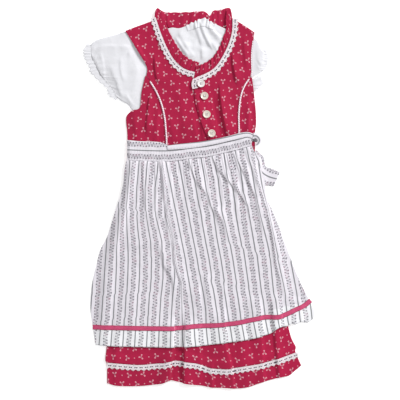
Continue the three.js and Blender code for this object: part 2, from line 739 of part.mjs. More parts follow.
const trimMaterial = (name) => {
  if (name.startsWith('piping')) return 'piping';
  return name === 'skirt_tuck' ? 'dress' : 'lace';
};

addPieces({ ...makeBodice(), ...makeRuffles(), ...makeSkirt() }, () => 'dress');
addPieces(makeTrims(), trimMaterial);
addButtons();
addPieces({ ...makeBlouse(), ...makeSleeves() }, () => 'blouse');
addPieces(makeApron(), (name) => (name === 'apron_ribbon' ? 'ribbon' : 'apron'));

// The origin is on the floor, below the middle of the set's bounding box.
const middle = new THREE.Box3().setFromObject(group).getCenter(new THREE.Vector3());
group.position.set(-middle.x, -middle.y, 0);

export default group;
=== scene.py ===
"""A child's dirndl set laid out flat: cotton dress, puff-sleeved blouse and striped apron.

Lengths in the tables are millimetres on the layout, x to the viewer's right and y towards the shoulders.
"""

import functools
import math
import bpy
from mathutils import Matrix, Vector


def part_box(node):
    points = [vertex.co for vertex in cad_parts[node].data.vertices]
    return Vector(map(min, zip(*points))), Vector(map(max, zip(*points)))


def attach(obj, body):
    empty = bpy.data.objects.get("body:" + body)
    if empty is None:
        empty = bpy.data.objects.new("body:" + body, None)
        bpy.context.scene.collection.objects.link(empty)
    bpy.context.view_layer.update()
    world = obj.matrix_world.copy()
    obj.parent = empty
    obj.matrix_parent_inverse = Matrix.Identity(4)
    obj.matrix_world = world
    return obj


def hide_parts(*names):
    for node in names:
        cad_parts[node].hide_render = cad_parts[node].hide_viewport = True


bl_info = {
    "name": "Dirndl set laid flat",
    "version": (1, 0, 0),
    "blender": (4, 5, 0),
    "location": "View3D > Sidebar > Dirndl",
    "description": "Sews a child's dirndl, blouse and apron, laid flat, around a packed frame",
    "category": "Object",
}

import bmesh
import bpy
import numpy as np
from bpy.props import FloatProperty, FloatVectorProperty, IntProperty, PointerProperty
from mathutils import Matrix

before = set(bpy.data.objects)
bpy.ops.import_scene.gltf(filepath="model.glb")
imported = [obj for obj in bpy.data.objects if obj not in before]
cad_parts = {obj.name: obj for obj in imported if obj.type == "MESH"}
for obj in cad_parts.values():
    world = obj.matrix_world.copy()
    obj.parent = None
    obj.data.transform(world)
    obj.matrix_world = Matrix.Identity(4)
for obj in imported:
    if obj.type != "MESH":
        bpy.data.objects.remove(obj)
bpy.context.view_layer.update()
MM = 0.001

# ---- Middles of the buttons, down the right front ----
BUTTONS = [(2, 205), (8, 183), (12, 150), (21, 116)]


def layout_shift():
    """How far the layout's own zero lies from the frame's, in millimetres."""
    low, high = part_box("button_2")
    return np.array([(low[axis] + high[axis]) / 2 / MM - BUTTONS[1][axis] for axis in (0, 1)])


SHIFT = layout_shift()

# ---- Cloth walls of the frame and the heights of its layers ----
DRESS_WALL, BLOUSE_WALL, TRIM_WALL, BAND_WALL, SEAM_GAP = 1.2, 1.0, 1.0, 2.0, 0.3
BLOUSE_BACK = DRESS_WALL + SEAM_GAP
BLOUSE_FRONT = BLOUSE_BACK + BLOUSE_WALL + SEAM_GAP
BODICE_FRONT = BLOUSE_FRONT + BLOUSE_WALL + SEAM_GAP
SKIRT_FRONT = DRESS_WALL + SEAM_GAP
APRON_LEVEL = SKIRT_FRONT + DRESS_WALL + 3 * SEAM_GAP
OVERLAP = DRESS_WALL + SEAM_GAP

# ---- Edges of the dress, from the bottom up or from left to right ----
LEFT_SIDE = [(-130, 86.5), (-131, 118), (-132, 147), (-121, 157), (-109, 161), (-105, 190), (-98, 219)]
LEFT_ARMHOLE = [(-95, 233), (-112, 264), (-134, 300)]
LEFT_PRINCESS = [(-60, 86.5), (-61, 120), (-64, 146), (-70, 172), (-81, 196), (-96, 220)]
LEFT_UNDERLAP = [(32, 86.5), (20, 125), (11, 152), (4, 180), (3, 210)]
LEFT_NECKLINE = [
    (4, 221), (-9, 225), (-23, 230), (-37, 239), (-49, 252), (-60, 273), (-71, 297), (-82, 319),
]
RIGHT_SIDE = [(99, 86.5), (99, 116), (101, 136), (100, 160), (98, 180), (93.5, 215)]
RIGHT_ARMHOLE = [(92, 226), (92, 240), (93, 263), (98, 297)]
RIGHT_PRINCESS = [(72, 86.5), (70, 120), (70, 150), (74, 183), (80, 200), (90, 217)]
PLACKET = [(18, 86.5), (14, 106), (6, 125), (-3, 152), (-9, 175), (-11, 211)]
RIGHT_NECKLINE = [(-11, 216), (6, 221), (21, 227), (32, 238), (44, 257), (55, 280), (60, 303), (59, 321)]
LEFT_SHOULDER = [(-134, 300), (-110, 309), (-82, 319)]
RIGHT_SHOULDER = [(59, 321), (76, 312), (98, 297)]
BACK_NECKLINE = [(-82, 316), (-50, 304), (-10, 300), (30, 304), (59, 317)]
BACK_RUFFLE_TOP = [
    (-81, 335), (-76, 341), (-66, 334.5), (-40, 334), (-18, 334.5), (3, 336), (12, 333.5), (18, 327.5),
    (23, 336.5), (33, 338), (44, 340.5), (54, 341.5), (57, 333),
]
LEFT_RUFFLE_EDGE = [(-72, 336), (-64, 322), (-58, 304), (-43, 276), (-31, 259), (-16, 248), (-1, 243)]
RIGHT_RUFFLE_EDGE = [(49, 340), (46, 320), (47, 304), (42, 290), (35, 272), (24, 254), (8, 242), (-7, 236)]
SKIRT_LEFT = [
    (-167, -333), (-168, -297), (-170, -292), (-168, -267), (-162, -170), (-146, -60), (-134, 30),
    (-130, 86),
]
SKIRT_RIGHT = [
    (182, -301), (174, -283), (171, -274), (172, -268), (164, -251), (142, -148), (126, -58), (112, 14),
    (100, 77), (99, 86),
]
SKIRT_HEM = [
    (-167, -331), (-154, -335), (-130, -336.5), (-105, -336), (-85, -334), (-67, -331), (-58, -327),
    (-53, -326), (-44, -328), (-31, -331), (-14, -334), (2, -336), (20, -339.5), (45, -340.5), (70, -341.5),
    (88, -339), (105, -333), (125, -327), (147, -321.5), (160, -319), (170, -311), (182, -301),
]

# ---- Edges of the blouse ----
BLOUSE_HEM = [(-100, 140), (84, 140)]
BLOUSE_LEFT = [(-99.4, 140), (-95.4, 164), (-84.4, 230), (-104.4, 294)]
BLOUSE_RIGHT = [(84, 140), (83, 200), (80, 240), (81, 286)]
BLOUSE_TOP = [
    (-105, 294), (-70, 300), (-57, 304.5), (-50, 306), (-37, 305), (-15, 314), (-4, 318), (3, 322),
    (12, 321.5), (18, 316), (30, 311), (43, 305), (60, 298), (81, 286),
]
NECK_FRILL_EDGE = [(-26, 309), (-15, 314.5), (-4, 319), (3, 322.5), (12, 322), (18, 317), (30, 312)]
NECK_FRILL_ROOT = [(-22, 299), (-13, 302), (-4, 305), (3, 307), (10, 307), (15, 304), (25, 301)]
SLEEVE_LEFT = {
    "armhole": [(-97, 164), (-86, 230), (-106, 295)],
    "top": [(-106, 295), (-122, 298), (-136, 298.5), (-154, 293), (-174, 288), (-188, 283), (-196, 276)],
    "bottom": [(-97, 164), (-109, 160), (-120, 157), (-130, 168), (-141, 174), (-149, 180)],
    "cuff": [(-149, 180), (-157, 194), (-166, 206), (-177, 220), (-188, 240), (-195, 256), (-196, 276)],
    "frill": [(-151, 176), (-164, 186), (-167, 197), (-178, 207), (-187, 216), (-197, 227), (-199, 236),
              (-206, 249), (-209, 260), (-207, 271), (-203, 277)],
}
SLEEVE_RIGHT = {
    "armhole": [(84, 214), (81, 240), (82, 287)],
    "top": [(82, 287), (99, 286), (106, 276), (114, 266), (118, 267)],
    "bottom": [(84, 214), (97, 219), (107, 224)],
    "cuff": [(107, 224), (114, 229), (121, 240), (122.5, 252), (121, 261), (118, 267)],
    "root": [(90, 196), (91, 211)],
    "frill": [(101, 193), (109, 201), (114, 209), (110, 217), (105, 221)],
}

# ---- Edges of the apron ----
APRON_HEM = [
    (-188, -264), (-165, -266), (-123, -267), (-72, -268), (-27, -267), (5, -265), (37, -261), (63, -258),
    (98, -252), (118, -246), (127, -243), (134, -238), (143, -232), (157, -230), (164, -226), (171, -227),
    (181, -223), (192, -224), (201, -220), (206, -212),
]
APRON_LEFT = [
    (-188, -264), (-193, -229), (-197, -196), (-194, -155), (-187, -124), (-179, -93), (-167, -70),
    (-158, -43), (-148, -11), (-142, 6), (-137, 32), (-136, 48), (-130, 76),
]
APRON_RIGHT = [
    (206, -212), (207, -206), (195, -180), (179, -148), (155, -87), (141, -49), (128, -18), (119, 2),
    (116, 30), (107, 58), (99, 78), (90, 104),
]
# The woven stripes: the lines of the first, sixth and tenth stripe, and the deep fold that swallows two
PRINT_LEFT = [
    (-181.4, -264.6), (-178, -228.6), (-174, -180), (-170, -108), (-168.5, -72), (-165, -36), (-165, 0),
    (-164, 45), (-162, 110),
]
PRINT_SIXTH = [
    (-74.5, -268), (-72, -207), (-70.2, -180), (-66.6, -144), (-66.6, -108), (-68.4, -78), (-74, -54),
    (-79, -32), (-79.2, 18), (-75.6, 45), (-72, 110),
]
PRINT_TENTH = [
    (15, -268), (12.6, -248), (9, -207), (5.4, -180), (0, -144), (-5.4, -108), (-12.6, -72), (-19.8, -36),
    (-25.2, -9), (-30.6, 18), (-36, 45), (-41.4, 72), (-48, 110),
]
PRINT_FOLD = [
    (-33, -268), (-33, -151), (-40, -133), (-46, -113), (-47, -90), (-50, -63), (-61, -15), (-66, 30),
    (-74, 84),
]
# Width of a stripe beyond the tenth, and how far from its line a pleat draws in the cloth
PRINT_STEP, DRAWN_REACH = 21.3, 34
APRON_TOP = [(-130, 76), (-107, 77), (-72, 75), (-27, 77), (5, 80), (28, 83), (48, 85), (60, 93), (90, 104)]
BAND_BOTTOM = [
    (-131, 67.5), (-92, 66), (-51, 66), (-10, 71.5), (12, 73.8), (42, 80.5), (69, 87), (91.5, 94),
]
BAND_TOP = [
    (-131, 104), (-111, 102), (-72, 100), (-62, 97), (-57, 94), (-40, 96), (-21, 98), (5, 101), (31, 106),
    (53, 111), (72, 116), (86, 117.5), (96, 114),
]
BAND_FOLD_LOWER = [
    (-58, 86), (-40, 87), (-21, 88.5), (5, 92), (31, 97), (53, 102), (72, 106.5), (86, 109), (97, 105),
]
BAND_FOLD_UPPER = [
    (-59, 94), (-40, 96.5), (-21, 98.5), (5, 101.5), (31, 106.5), (53, 111.5), (72, 116.5), (86, 118),
    (97, 114.5),
]
CURL_OUTER = [(96, 117), (103.5, 115), (109, 108.5), (110.3, 103), (107.5, 97), (102.5, 93)]
CURL_INNER = [(94, 105), (97, 107), (101, 106.3), (103, 103.5), (101.8, 99.5), (99, 96)]
# Sheet inside the curl: its dark stripe is laid to fill the hole, painted shade for the curl's hollow
CURL_SHADE_LOWER = [(94, 102), (99, 101), (103.5, 99.5)]
CURL_SHADE_UPPER = [(94, 107), (99, 108), (104, 106)]
TIE_RIGHT_OUTER = [
    (101.3, 86.4), (107.6, 80.5), (114, 75), (116.5, 64.5), (117.5, 58), (130, 52.5), (143.8, 46.8),
]
TIE_RIGHT_INNER = [(93, 80), (95, 60), (101, 40), (110, 28), (118, 23.4), (133, 21)]
TIE_LEFT_OUTER = [(-124, 58), (-118, 0), (-100, -70)]
TIE_LEFT_INNER = [(-99, 58), (-93, 0), (-76, -76)]

# ---- Centre lines of the trims ----
LEFT_LACE = [(-84, 323), (-74, 293), (-62, 265), (-49, 244), (-34, 230), (-22, 224.5), (-10, 221.5)]
RIGHT_LACE = [(63, 322), (62, 298), (56, 276), (43, 249), (29, 230), (12, 219), (-3, 212.5), (-10, 209)]
LACE_END = [(-8, 213), (-10.5, 204), (-9, 196)]
RIBBON = [
    (-193, -232), (-137, -233), (-74, -234), (-36, -233), (-14, -230), (33, -228), (67, -224), (95, -218),
    (116, -214), (142, -213), (154, -209), (171, -201), (188, -193), (199, -184),
]
HEM_LACE = [
    (-167, -300.7), (-150, -301.7), (-128, -303.7), (-112, -304.4), (-94, -303.7), (-75, -301.4),
    (-62, -300.4), (-52, -297.4), (-43, -297.0), (-33, -297.7), (-20, -299.7), (-6, -301.7), (4, -305.2),
    (14, -309.2), (26, -311.2), (38, -311.8), (52, -311.8), (64, -309.7), (80, -307.2), (104, -303.2),
    (138, -294.2), (176, -281.2),
]
LEFT_PIPING = [(-90, 210), (-79, 192), (-69.5, 170), (-63.5, 145), (-60.8, 118), (-60, 104), (-60, 91)]
ARMHOLE_CORD = [(95, 282.8), (92.2, 257), (92.7, 231.4), (94, 213)]
RIGHT_PIPING = [(88.5, 214), (79.5, 200), (73.3, 182), (69.7, 151), (70, 124), (70, 110)]

# ---- Folds ----
# x, y to x, y; bow sideways; half width; steep (-1 to 1: which flank falls off); height; cloth taken up
BODICE_FOLDS = [
    (34, 212, 55, 94, 4, 7, 0.82, 4.4, 2.5),
    (22, 198, 44, 96, 4, 4.0, 0.30, -1.2, 0),
    (57, 266, 68, 198, 2, 5.5, 0.75, 3.4, 1),
    (-81, 260, -73, 200, 3, 6, 0.75, 3.0, 1),
    (-89, 194, -97, 108, 1, 4.5, 0.75, 3.0, 1),
    (-116, 150, -112, 90, 1, 6.0, 0.4, 1.3, 0),
    (-74, 168, -78, 92, 1, 5.0, -0.4, 1.6, 0),
    (-42, 206, -24, 96, -3, 9, 0.2, 1.6, 0),
    (-10, 200, 6, 92, -3, 5, 0.6, 1.4, 0),
    (-122, 290, -90, 236, 2, 7, -0.5, 1.8, 0),
    (80, 292, 86, 226, 2, 6, 0.4, 1.6, 0),
    (88, 176, 84, 108, -2, 5, -0.4, 1.8, 0),
    (-74, 300, -62, 262, 2, 6, 0.3, 1.1, 0),
    (-52, 150, -46, 92, 1, 7, 0.4, 1.2, 0),
    (-14, 150, 0, 96, 2, 5, -0.4, 1.2, 0),
]
# Pleats run down through their points: half width; steep, as above; height; cloth hidden
SKIRT_PLEATS = [
    ([(-46, -208), (-47, -262), (-64, -400)], 12, 0.84, 8.2, 7),
    ([(-25, -208), (-27, -262), (-31, -400)], 12, -0.84, 6.6, 7),
    ([(-112, -160), (-112, -400)], 22, 0.2, 1.6, 0),
    ([(-2, -150), (2, -350)], 7, 0.75, 2.8, 3),
    ([(43, -190), (46, -262), (58, -312), (66, -400)], 14, 0.86, 4.2, 3),
    ([(22, -290), (24, -400)], 5, 0.6, 2.2, 1),
    ([(72, -160), (86, -400)], 14, 0.2, 2.2, 0),
    ([(106, -170), (118, -400)], 9, 0.6, 2.8, 2),
    ([(128, -170), (150, -400)], 7, -0.6, 3.6, 2),
    ([(-150, -180), (-152, -400)], 8, -0.4, 1.6, 0),
]
APRON_PLEATS = [
    ([(-74, 84), (-66, 30), (-62, -15), (-55, -76), (-52, -100)], 8, -0.75, 2.6, 0),
    ([(-70, -84), (-64, -121), (-49, -144), (-47, -160), (-47, -196)], 9, -0.7, 2.9, 0),
    ([(-47, -70), (-46, -113), (-40, -133), (-33, -151), (-33, -190)], 8, -0.7, 2.5, 0),
    ([(-104, 84), (-101, 20), (-96, -28), (-94, -60)], 9, -0.75, 2.3, 4),
    ([(-30, 84), (-5, 28), (14, 5), (21, -16), (32, -40), (40, -70)], 7, -0.75, 2.0, 4),
    ([(16, 86), (33, 51), (46, 36), (67, 13), (86, -14), (92, -50), (97, -76)], 7, -0.8, 2.3, 5),
    ([(24, -12), (31, -27), (43, -41), (46, -56), (50, -84)], 8, -0.6, 2.2, 3),
    ([(56, 90), (72, 60), (100, 4), (111, -50), (115, -92)], 8, -0.7, 2.6, 4),
    ([(88, 96), (104, 30), (122, -20), (131, -70), (137, -122), (148, -155), (158, -200)], 9, -0.6, 3.0, 9),
    ([(-118, 80), (-128, 10), (-138, -40), (-149, -84), (-163, -136)], 11, 0.5, 6.0, 4),
    ([(10, -130), (12, -170), (16, -232)], 8, -0.5, 1.9, 3),
    ([(42, -150), (40, -190), (46, -240)], 7, -0.5, 1.7, 3),
    ([(140, -170), (146, -215), (143, -262)], 7, 0.6, 3.0, 4),
    ([(178, -176), (186, -246)], 9, 0.3, 2.6, 0),
    ([(-160, -130), (-172, -280)], 10, 0.4, 2.2, 0),
    ([(-122, -120), (-128, -280)], 13, 0.2, 1.6, 0),
    ([(-84, -170), (-92, -290)], 12, -0.2, 1.5, 0),
    ([(-20, -190), (-22, -290)], 12, 0.2, 1.5, 0),
    ([(92, -170), (96, -270)], 11, -0.3, 1.8, 0),
]
# Level creases push the stripes aside: x, y, climb, length, half width, push
APRON_CREASES = [
    (-114, -22, -0.10, 34, 6, 1.6),
    (-138, -172, 0.06, 60, 6, -0.8),
    (-140, -216, 0.10, 50, 6, -0.7),
    (40, -150, -0.20, 40, 7, -0.8),
    (84, -92, -0.35, 40, 7, 1.0),
    (60, 20, -0.7, 40, 8, 0.9),
    (150, -110, -0.3, 30, 7, -0.9),
    (-70, -100, 0.4, 22, 6, 0.8),
]
SLEEVE_FOLDS = [
    (-190, 270, -142, 272, -2, 4.5, -0.5, 1.6, 0),
    (-150, 271, -104, 277, 1, 4.5, -0.5, 2.0, 0),
    (-106, 258, -132, 252, 9, 5, 0.5, 1.5, 0),
    (-141, 258, -134, 204, 4, 5, 0.4, 1.7, 0),
    (-180, 268, -172, 206, -2, 4.5, -0.4, 1.5, 0),
    (-198, 262, -176, 216, -3, 4, 0.4, 1.5, 0),
    (-160, 240, -142, 200, 3, 6, 0.4, 1.5, 0),
    (-118, 244, -96, 206, 3, 8, -0.3, 1.5, 0),
    (-136, 192, -112, 158, 2, 5, -0.4, 1.4, 0),
    (-166, 296, -158, 280, 0, 4, 0.3, 1.0, 0),
    (-204, 274, -186, 268, 0, 4, 0.3, 1.0, 0),
    (-150, 214, -138, 180, 2, 4, 0.3, 1.3, 0),
    (100, 262, 112, 236, 3, 4, 0.4, 1.4, 0),
    (94, 250, 106, 228, -2, 4, -0.4, 1.2, 0),
]
BLOUSE_FOLDS = [
    (-2, 326, 26, 262, 4, 4.0, 0.5, 3.4, 0),
    (8, 322, 46, 280, 3, 4.5, -0.4, 3.0, 0),
    (-14, 318, 4, 268, -3, 4.5, 0.4, 2.4, 0),
    (-50, 296, -18, 248, 0, 2.6, 0.6, 2.2, 0),
    (-40, 306, -14, 262, 3, 6, 0.3, 2.0, 0),
    (4, 272, 6, 236, 1, 5, 0.5, 2.2, 0),
    (20, 284, 36, 256, 0, 4, 0.3, 2.0, 0),
    (-30, 282, -6, 250, 2, 5, -0.4, 1.6, 0),
    (24, 306, 52, 296, 2, 4, 0.4, 2.0, 0),
]
TIE_FOLDS = [(110, 82, 115, 56, 1, 4, 0.5, 2.6, 0)]


# ---- Curves, patches and fields, all on arrays of millimetres ----
CURVE_STEPS = 12
CRUMPLE_WAVES = 14


def curve(*tables):
    """A smooth path through given points, as a dense row of points."""
    points = np.array([point for rows in tables for point in rows], float)
    ends = np.vstack([2 * points[0] - points[1], points, 2 * points[-1] - points[-2]])
    path = []
    for a, b, c, d in zip(ends, ends[1:], ends[2:], ends[3:]):
        knots = np.cumsum([0] + [math.sqrt(np.linalg.norm(q - p)) for p, q in ((a, b), (b, c), (c, d))])
        t = np.linspace(knots[1], knots[2], CURVE_STEPS, endpoint=False)[:, None]

        def blend(p, q, start, end):
            return ((knots[end] - t) * p + (t - knots[start]) * q) / (knots[end] - knots[start])

        ab, bc, cd = blend(a, b, 0, 1), blend(b, c, 1, 2), blend(c, d, 2, 3)
        path.append(blend(blend(ab, bc, 0, 2), blend(bc, cd, 1, 3), 1, 2))
    return np.vstack(path + [points[-1:]])


def reach(path):
    """Distance along a path at each of its points."""
    return np.r_[0, np.cumsum(np.linalg.norm(np.diff(path, axis=0), axis=1))]


def along(path, share):
    """The path's points at shares of its length."""
    steps = reach(path)
    at = np.asarray(share, float) * steps[-1]
    return np.stack([np.interp(at, steps, path[:, axis]) for axis in range(path.shape[1])], -1)


def unit(rows):
    return rows / np.linalg.norm(rows, axis=1)[:, None]


def ease(value, start, end):
    """Rises smoothly from 0 at start to 1 at end."""
    t = np.clip((value - start) / (end - start), 0, 1)
    return t * t * (3 - 2 * t)


def window(value, start, full, fade, end):
    """1 from full to fade, and 0 outside start and end."""
    return ease(value, start, full) * (1 - ease(value, fade, end))


def shares(count):
    return np.linspace(0, 1, count + 1)


def fill(bottom, top, left, right, columns, rows):
    """A grid of points between four edges, with each point's share across (u) and up (v)."""
    u, v = np.meshgrid(columns, rows)
    across, up = u[..., None], v[..., None]
    grid = (1 - up) * along(bottom, columns)[None] + up * along(top, columns)[None]
    grid += (1 - across) * along(left, rows)[:, None] + across * along(right, rows)[:, None]
    grid -= (1 - up) * ((1 - across) * bottom[0] + across * bottom[-1])
    grid -= up * ((1 - across) * top[0] + across * top[-1])
    return grid[..., 0], grid[..., 1], u, v


def between(lower, upper, columns, rows):
    """A grid between two long edges, columns steps along them and rows steps across."""
    u, v = np.meshgrid(shares(columns), shares(rows))
    grid = (1 - v[..., None]) * along(lower, u[0])[None] + v[..., None] * along(upper, u[0])[None]
    return grid[..., 0], grid[..., 1], u, v


def edge_at(rows, y):
    """The x of a rising edge at each height y."""
    points = np.array(sorted(rows, key=lambda point: point[1]), float)
    return np.interp(y, points[:, 1], points[:, 0])


def line_at(rows, x):
    """The y of a level line at each place x."""
    return np.interp(x, [point[0] for point in rows], [point[1] for point in rows])


def bell(value):
    return np.exp(-(value**2))


def ridge(aside, width, steep):
    """A fold's cross section, 1 at its crest; steep draws in one flank and lets out the other."""
    return bell(aside / (width * np.where(aside > 0, 1 - steep, 1 + steep)))


def folds(rows, x, y):
    """Height of the folds at each place, and the cloth that they take up sideways."""
    height, taken = np.zeros_like(x), np.zeros_like(x)
    for x0, y0, x1, y1, bow, width, steep, rise, take in rows:
        run, climb = x1 - x0, y1 - y0
        length = math.hypot(run, climb)
        share = ((x - x0) * run + (y - y0) * climb) / length**2
        aside = ((x - x0) * climb - (y - y0) * run) / length - bow * np.sin(np.pi * np.clip(share, 0, 1))
        ends = window(share, 0, 0.3, 0.7, 1)
        height += rise * ridge(aside, width, steep) * ends
        taken -= take * np.tanh(aside / width) * ends
    return height, taken


def pleats(rows, x, y):
    """For each pleat: distance from its line, its strength, which dies out at both ends, and its sizes."""
    for points, *sizes in rows:
        slope = (edge_at(points, y + 4) - edge_at(points, y - 4)) / 8
        aside = (x - edge_at(points, y)) / np.hypot(1, slope)
        low, high = min(point[1] for point in points), max(point[1] for point in points)
        yield aside, window((y - low) / (high - low), 0, 0.4, 0.84, 1), *sizes


def pleat_height(rows, x, y):
    ridges = (rise * ridge(aside, width, steep) * ends
              for aside, ends, width, steep, rise, _ in pleats(rows, x, y))
    return sum(ridges)


def hidden_cloth(rows, x, y):
    """How far the pleats draw in the cloth beside them; it dies out away from each pleat."""
    shift = np.zeros_like(x)
    for aside, ends, width, _, _, hidden in pleats(rows, x, y):
        shift += 0.5 * hidden * ends * np.tanh(aside / (0.25 * width)) * bell(aside / DRAWN_REACH)
    return shift


def pushed_cloth(rows, x, y):
    """How far the creases push the cloth sideways: one way above each, the other way below."""
    shift = np.zeros_like(x)
    for x0, y0, climb, length, width, push in rows:
        off = (y - y0 - climb * (x - x0)) / width
        shift += push * off / (0.25 + off**2) * bell(off / 9) * bell((x - x0) / length)
    return shift


def crumple(x, y, size, seed):
    """Uneven soft wrinkles between -1 and 1, about size millimetres across."""
    chance = np.random.default_rng(seed)
    field = np.zeros_like(x)
    for _ in range(CRUMPLE_WAVES):
        angle, phase = chance.uniform(0, np.pi), chance.uniform(0, 2 * np.pi)
        pitch = size * chance.uniform(0.7, 1.9)
        field += np.sin(2 * np.pi * (x * math.cos(angle) + y * math.sin(angle)) / pitch + phase)
    return field / math.sqrt(CRUMPLE_WAVES) / 1.6


def uneven_gathers(share, count, seed):
    """Waves from 0 to 1 of uneven length and height along an edge, and their phase."""
    chance = np.random.default_rng(seed)
    beats = np.cumsum(chance.uniform(0.45, 1.7, count + 1))
    beats = (beats - beats[0]) / (beats[-1] - beats[0])
    phase = np.interp(share, beats, np.arange(count + 1))
    size = np.interp(share, beats, chance.uniform(0.25, 1.25, count + 1))
    return (0.5 + 0.5 * np.cos(2 * np.pi * phase)) * size, phase


# ---- Heights of the layers ----
BAND_LEVEL = APRON_LEVEL + DRESS_WALL + 1.1 + 2 * SEAM_GAP + BAND_WALL
TUCK_RISE, TUCK_STEP = 5.2, 1.5
LOWEST_FOLD = -0.3


def bodice_top(x, y):
    """The bodice lies on the blouse, and comes down to the skirt's level at its sides and waist."""
    left = np.maximum(ease(x, -129, -117), ease(y, 149, 158))
    right = np.maximum(1 - ease(x, 86, 97), ease(y, 176, 194))
    rest = SKIRT_FRONT + (BODICE_FRONT - SKIRT_FRONT) * left * right * ease(y, 96, 134)
    return rest + DRESS_WALL + folds(BODICE_FOLDS, x, y)[0] + 0.35 * crumple(x, y, 26, 3)


def right_front_top(x, y):
    """The right front laps over the left one along the placket."""
    lap = (1 - ease(x - edge_at(PLACKET, y), 17, 29)) * (1 - ease(y, 226, 240))
    return bodice_top(x, y) + OVERLAP * lap


def skirt_side(x, y):
    """Distance in from the nearer side of the skirt."""
    return np.minimum(x - edge_at(SKIRT_LEFT, y), edge_at(SKIRT_RIGHT, y) - x)


def skirt_fold_height(x, y):
    soft = 0.4 * crumple(x, 0.45 * y, 24, 11) * ease(-y, 150, 260)
    height = (pleat_height(SKIRT_PLEATS, x, y) + soft) * ease(skirt_side(x, y), -2, 10)
    return np.maximum(height, LOWEST_FOLD)


def skirt_top(x, y):
    return SKIRT_FRONT + DRESS_WALL + skirt_fold_height(x, y)


def skirt_front_top(x, y):
    """The fold above the lace stands a cloth higher than the hem below it."""
    above = y - line_at(HEM_LACE, x) - TUCK_RISE
    return skirt_top(x, y) + TUCK_STEP * window(above, -0.6, 0.5, 9, 20)


def apron_top(x, y):
    """The apron lies on the skirt and the ties, and comes down to the floor beyond the skirt's sides."""
    left_tie = window(x, -140, -126, -74, -60) * window(y, -96, -80, 60, 74)
    right_tie = ease(x, 76, 90) * window(y, -4, 12, 86, 98)
    tie_lift = (TRIM_WALL + SEAM_GAP) * np.maximum(left_tie, right_tie)
    rest = (APRON_LEVEL + skirt_fold_height(x, y) + tie_lift) * (1 - ease(-skirt_side(x, y), 8, 24))
    wrinkle = 0.36 * crumple(x, 0.5 * y, 30, 21) + 0.16 * crumple(x, y, 12, 22)
    height = np.maximum(pleat_height(APRON_PLEATS, x, y), 0) + wrinkle
    return rest + DRESS_WALL + height * apron_inset(x, y) + 0.35


def apron_inset(x, y):
    """0 at the apron's two sides and 1 inside them."""
    return ease(np.minimum(x - edge_at(APRON_LEFT, y), edge_at(APRON_RIGHT, y) - x), -2, 16)


def tie_top(x, y):
    return (skirt_top(x, y) + SEAM_GAP) * (1 - ease(-skirt_side(x, y), 2, 16)) + TRIM_WALL


def blouse_front_top(x, y):
    """The blouse is loose inside the neck opening and lies flat under the bodice."""
    from_middle = np.hypot((x + 3) / 46, (y - 283) / 38)
    loose = 1 - ease(from_middle, 0.72, 1.06)
    height = folds(BLOUSE_FOLDS, x, y)[0] + 0.5 + 0.5 * crumple(x, y, 16, 5)
    return BLOUSE_FRONT + BLOUSE_WALL + height * loose


def outside_armhole(x, y):
    """Distance out from the bodice's side and armhole."""
    left_edge = edge_at(LEFT_SIDE[4:] + LEFT_ARMHOLE, y)
    right_edge = edge_at(RIGHT_SIDE + RIGHT_ARMHOLE, y)
    return np.where(x < 0, left_edge - x, x - right_edge)


def sleeve_lower(x, y):
    return BLOUSE_BACK * (1 - ease(outside_armhole(x, y), 5, 18))


# ---- Objects ----
CLOTH_WALL, GATHERED_WALL, THIN_WALL, BAND_CLOTH_WALL = 0.7, 0.6, 0.5, 1.6
SMALLEST_SHEET = 0.01


def link(name, mesh):
    thing = bpy.data.objects.new(name, mesh)
    bpy.context.scene.collection.objects.link(thing)
    return thing


def place_points(x, y, z):
    """Layout millimetres as metres in the frame."""
    return np.stack([x + SHIFT[0], y + SHIFT[1], z], -1).reshape(-1, 3) * MM


def map_cloth(mesh, cloth):
    """The UV map holds the cloth's own millimetres, given for each vertex."""
    layer = mesh.uv_layers.new(name="Cloth")
    corner = np.empty(len(mesh.loops), np.int32)
    mesh.loops.foreach_get("vertex_index", corner)
    layer.data.foreach_set("uv", cloth[corner].astype(np.float32).ravel())


def grid_mesh(name, x, y, z, cloth, closed=False):
    rows, columns = x.shape
    index = np.arange(rows * columns).reshape(rows, columns)
    if closed:
        index = np.hstack([index, index[:, :1]])
    faces = np.stack([index[:-1, :-1], index[:-1, 1:], index[1:, 1:], index[1:, :-1]], -1).reshape(-1, 4)
    area = (x[0, -1] - x[0, 0]) * (y[-1, 0] - y[0, 0]) - (y[0, -1] - y[0, 0]) * (x[-1, 0] - x[0, 0])
    if not closed and area < 0:
        faces = faces[:, ::-1]
    mesh = bpy.data.meshes.new(name)
    mesh.from_pydata(place_points(x, y, z).tolist(), [], faces.tolist())
    map_cloth(mesh, np.stack([part.ravel() for part in cloth], -1))
    mesh.shade_smooth()
    return mesh


def close_ends(mesh):
    """Caps a cord's two ends and turns its faces outward."""
    work = bmesh.new()
    work.from_mesh(mesh)
    bmesh.ops.holes_fill(work, edges=[edge for edge in work.edges if edge.is_boundary], sides=0)
    bmesh.ops.recalc_face_normals(work, faces=work.faces[:])
    work.to_mesh(mesh)
    work.free()


def evaluated(thing):
    """The object's mesh with its modifiers applied; they are removed from the object."""
    graph = bpy.context.evaluated_depsgraph_get()
    mesh = bpy.data.meshes.new_from_object(thing.evaluated_get(graph))
    thing.modifiers.clear()
    return mesh


def thicken(thing, thickness, offset=-1):
    wall = thing.modifiers.new("Thickness", "SOLIDIFY")
    wall.thickness = thickness * MM
    wall.offset = offset


def finish_piece(thing, look, nodes=()):
    material, slot = MATERIALS[look]
    thing.data.materials.clear()
    thing.data.materials.append(material)
    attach(thing, "root")
    if nodes:
        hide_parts(*nodes)


def declare_cut(cloth):
    """Works out the width and length of a sheet's cut from its map; narrow trims return early, and nothing
    uses the sizes.
    """
    cloth_u, cloth_v = cloth
    width, length = float(np.ptp(cloth_u)) * MM, float(np.ptp(cloth_v)) * MM
    if min(width, length) < SMALLEST_SHEET:
        return


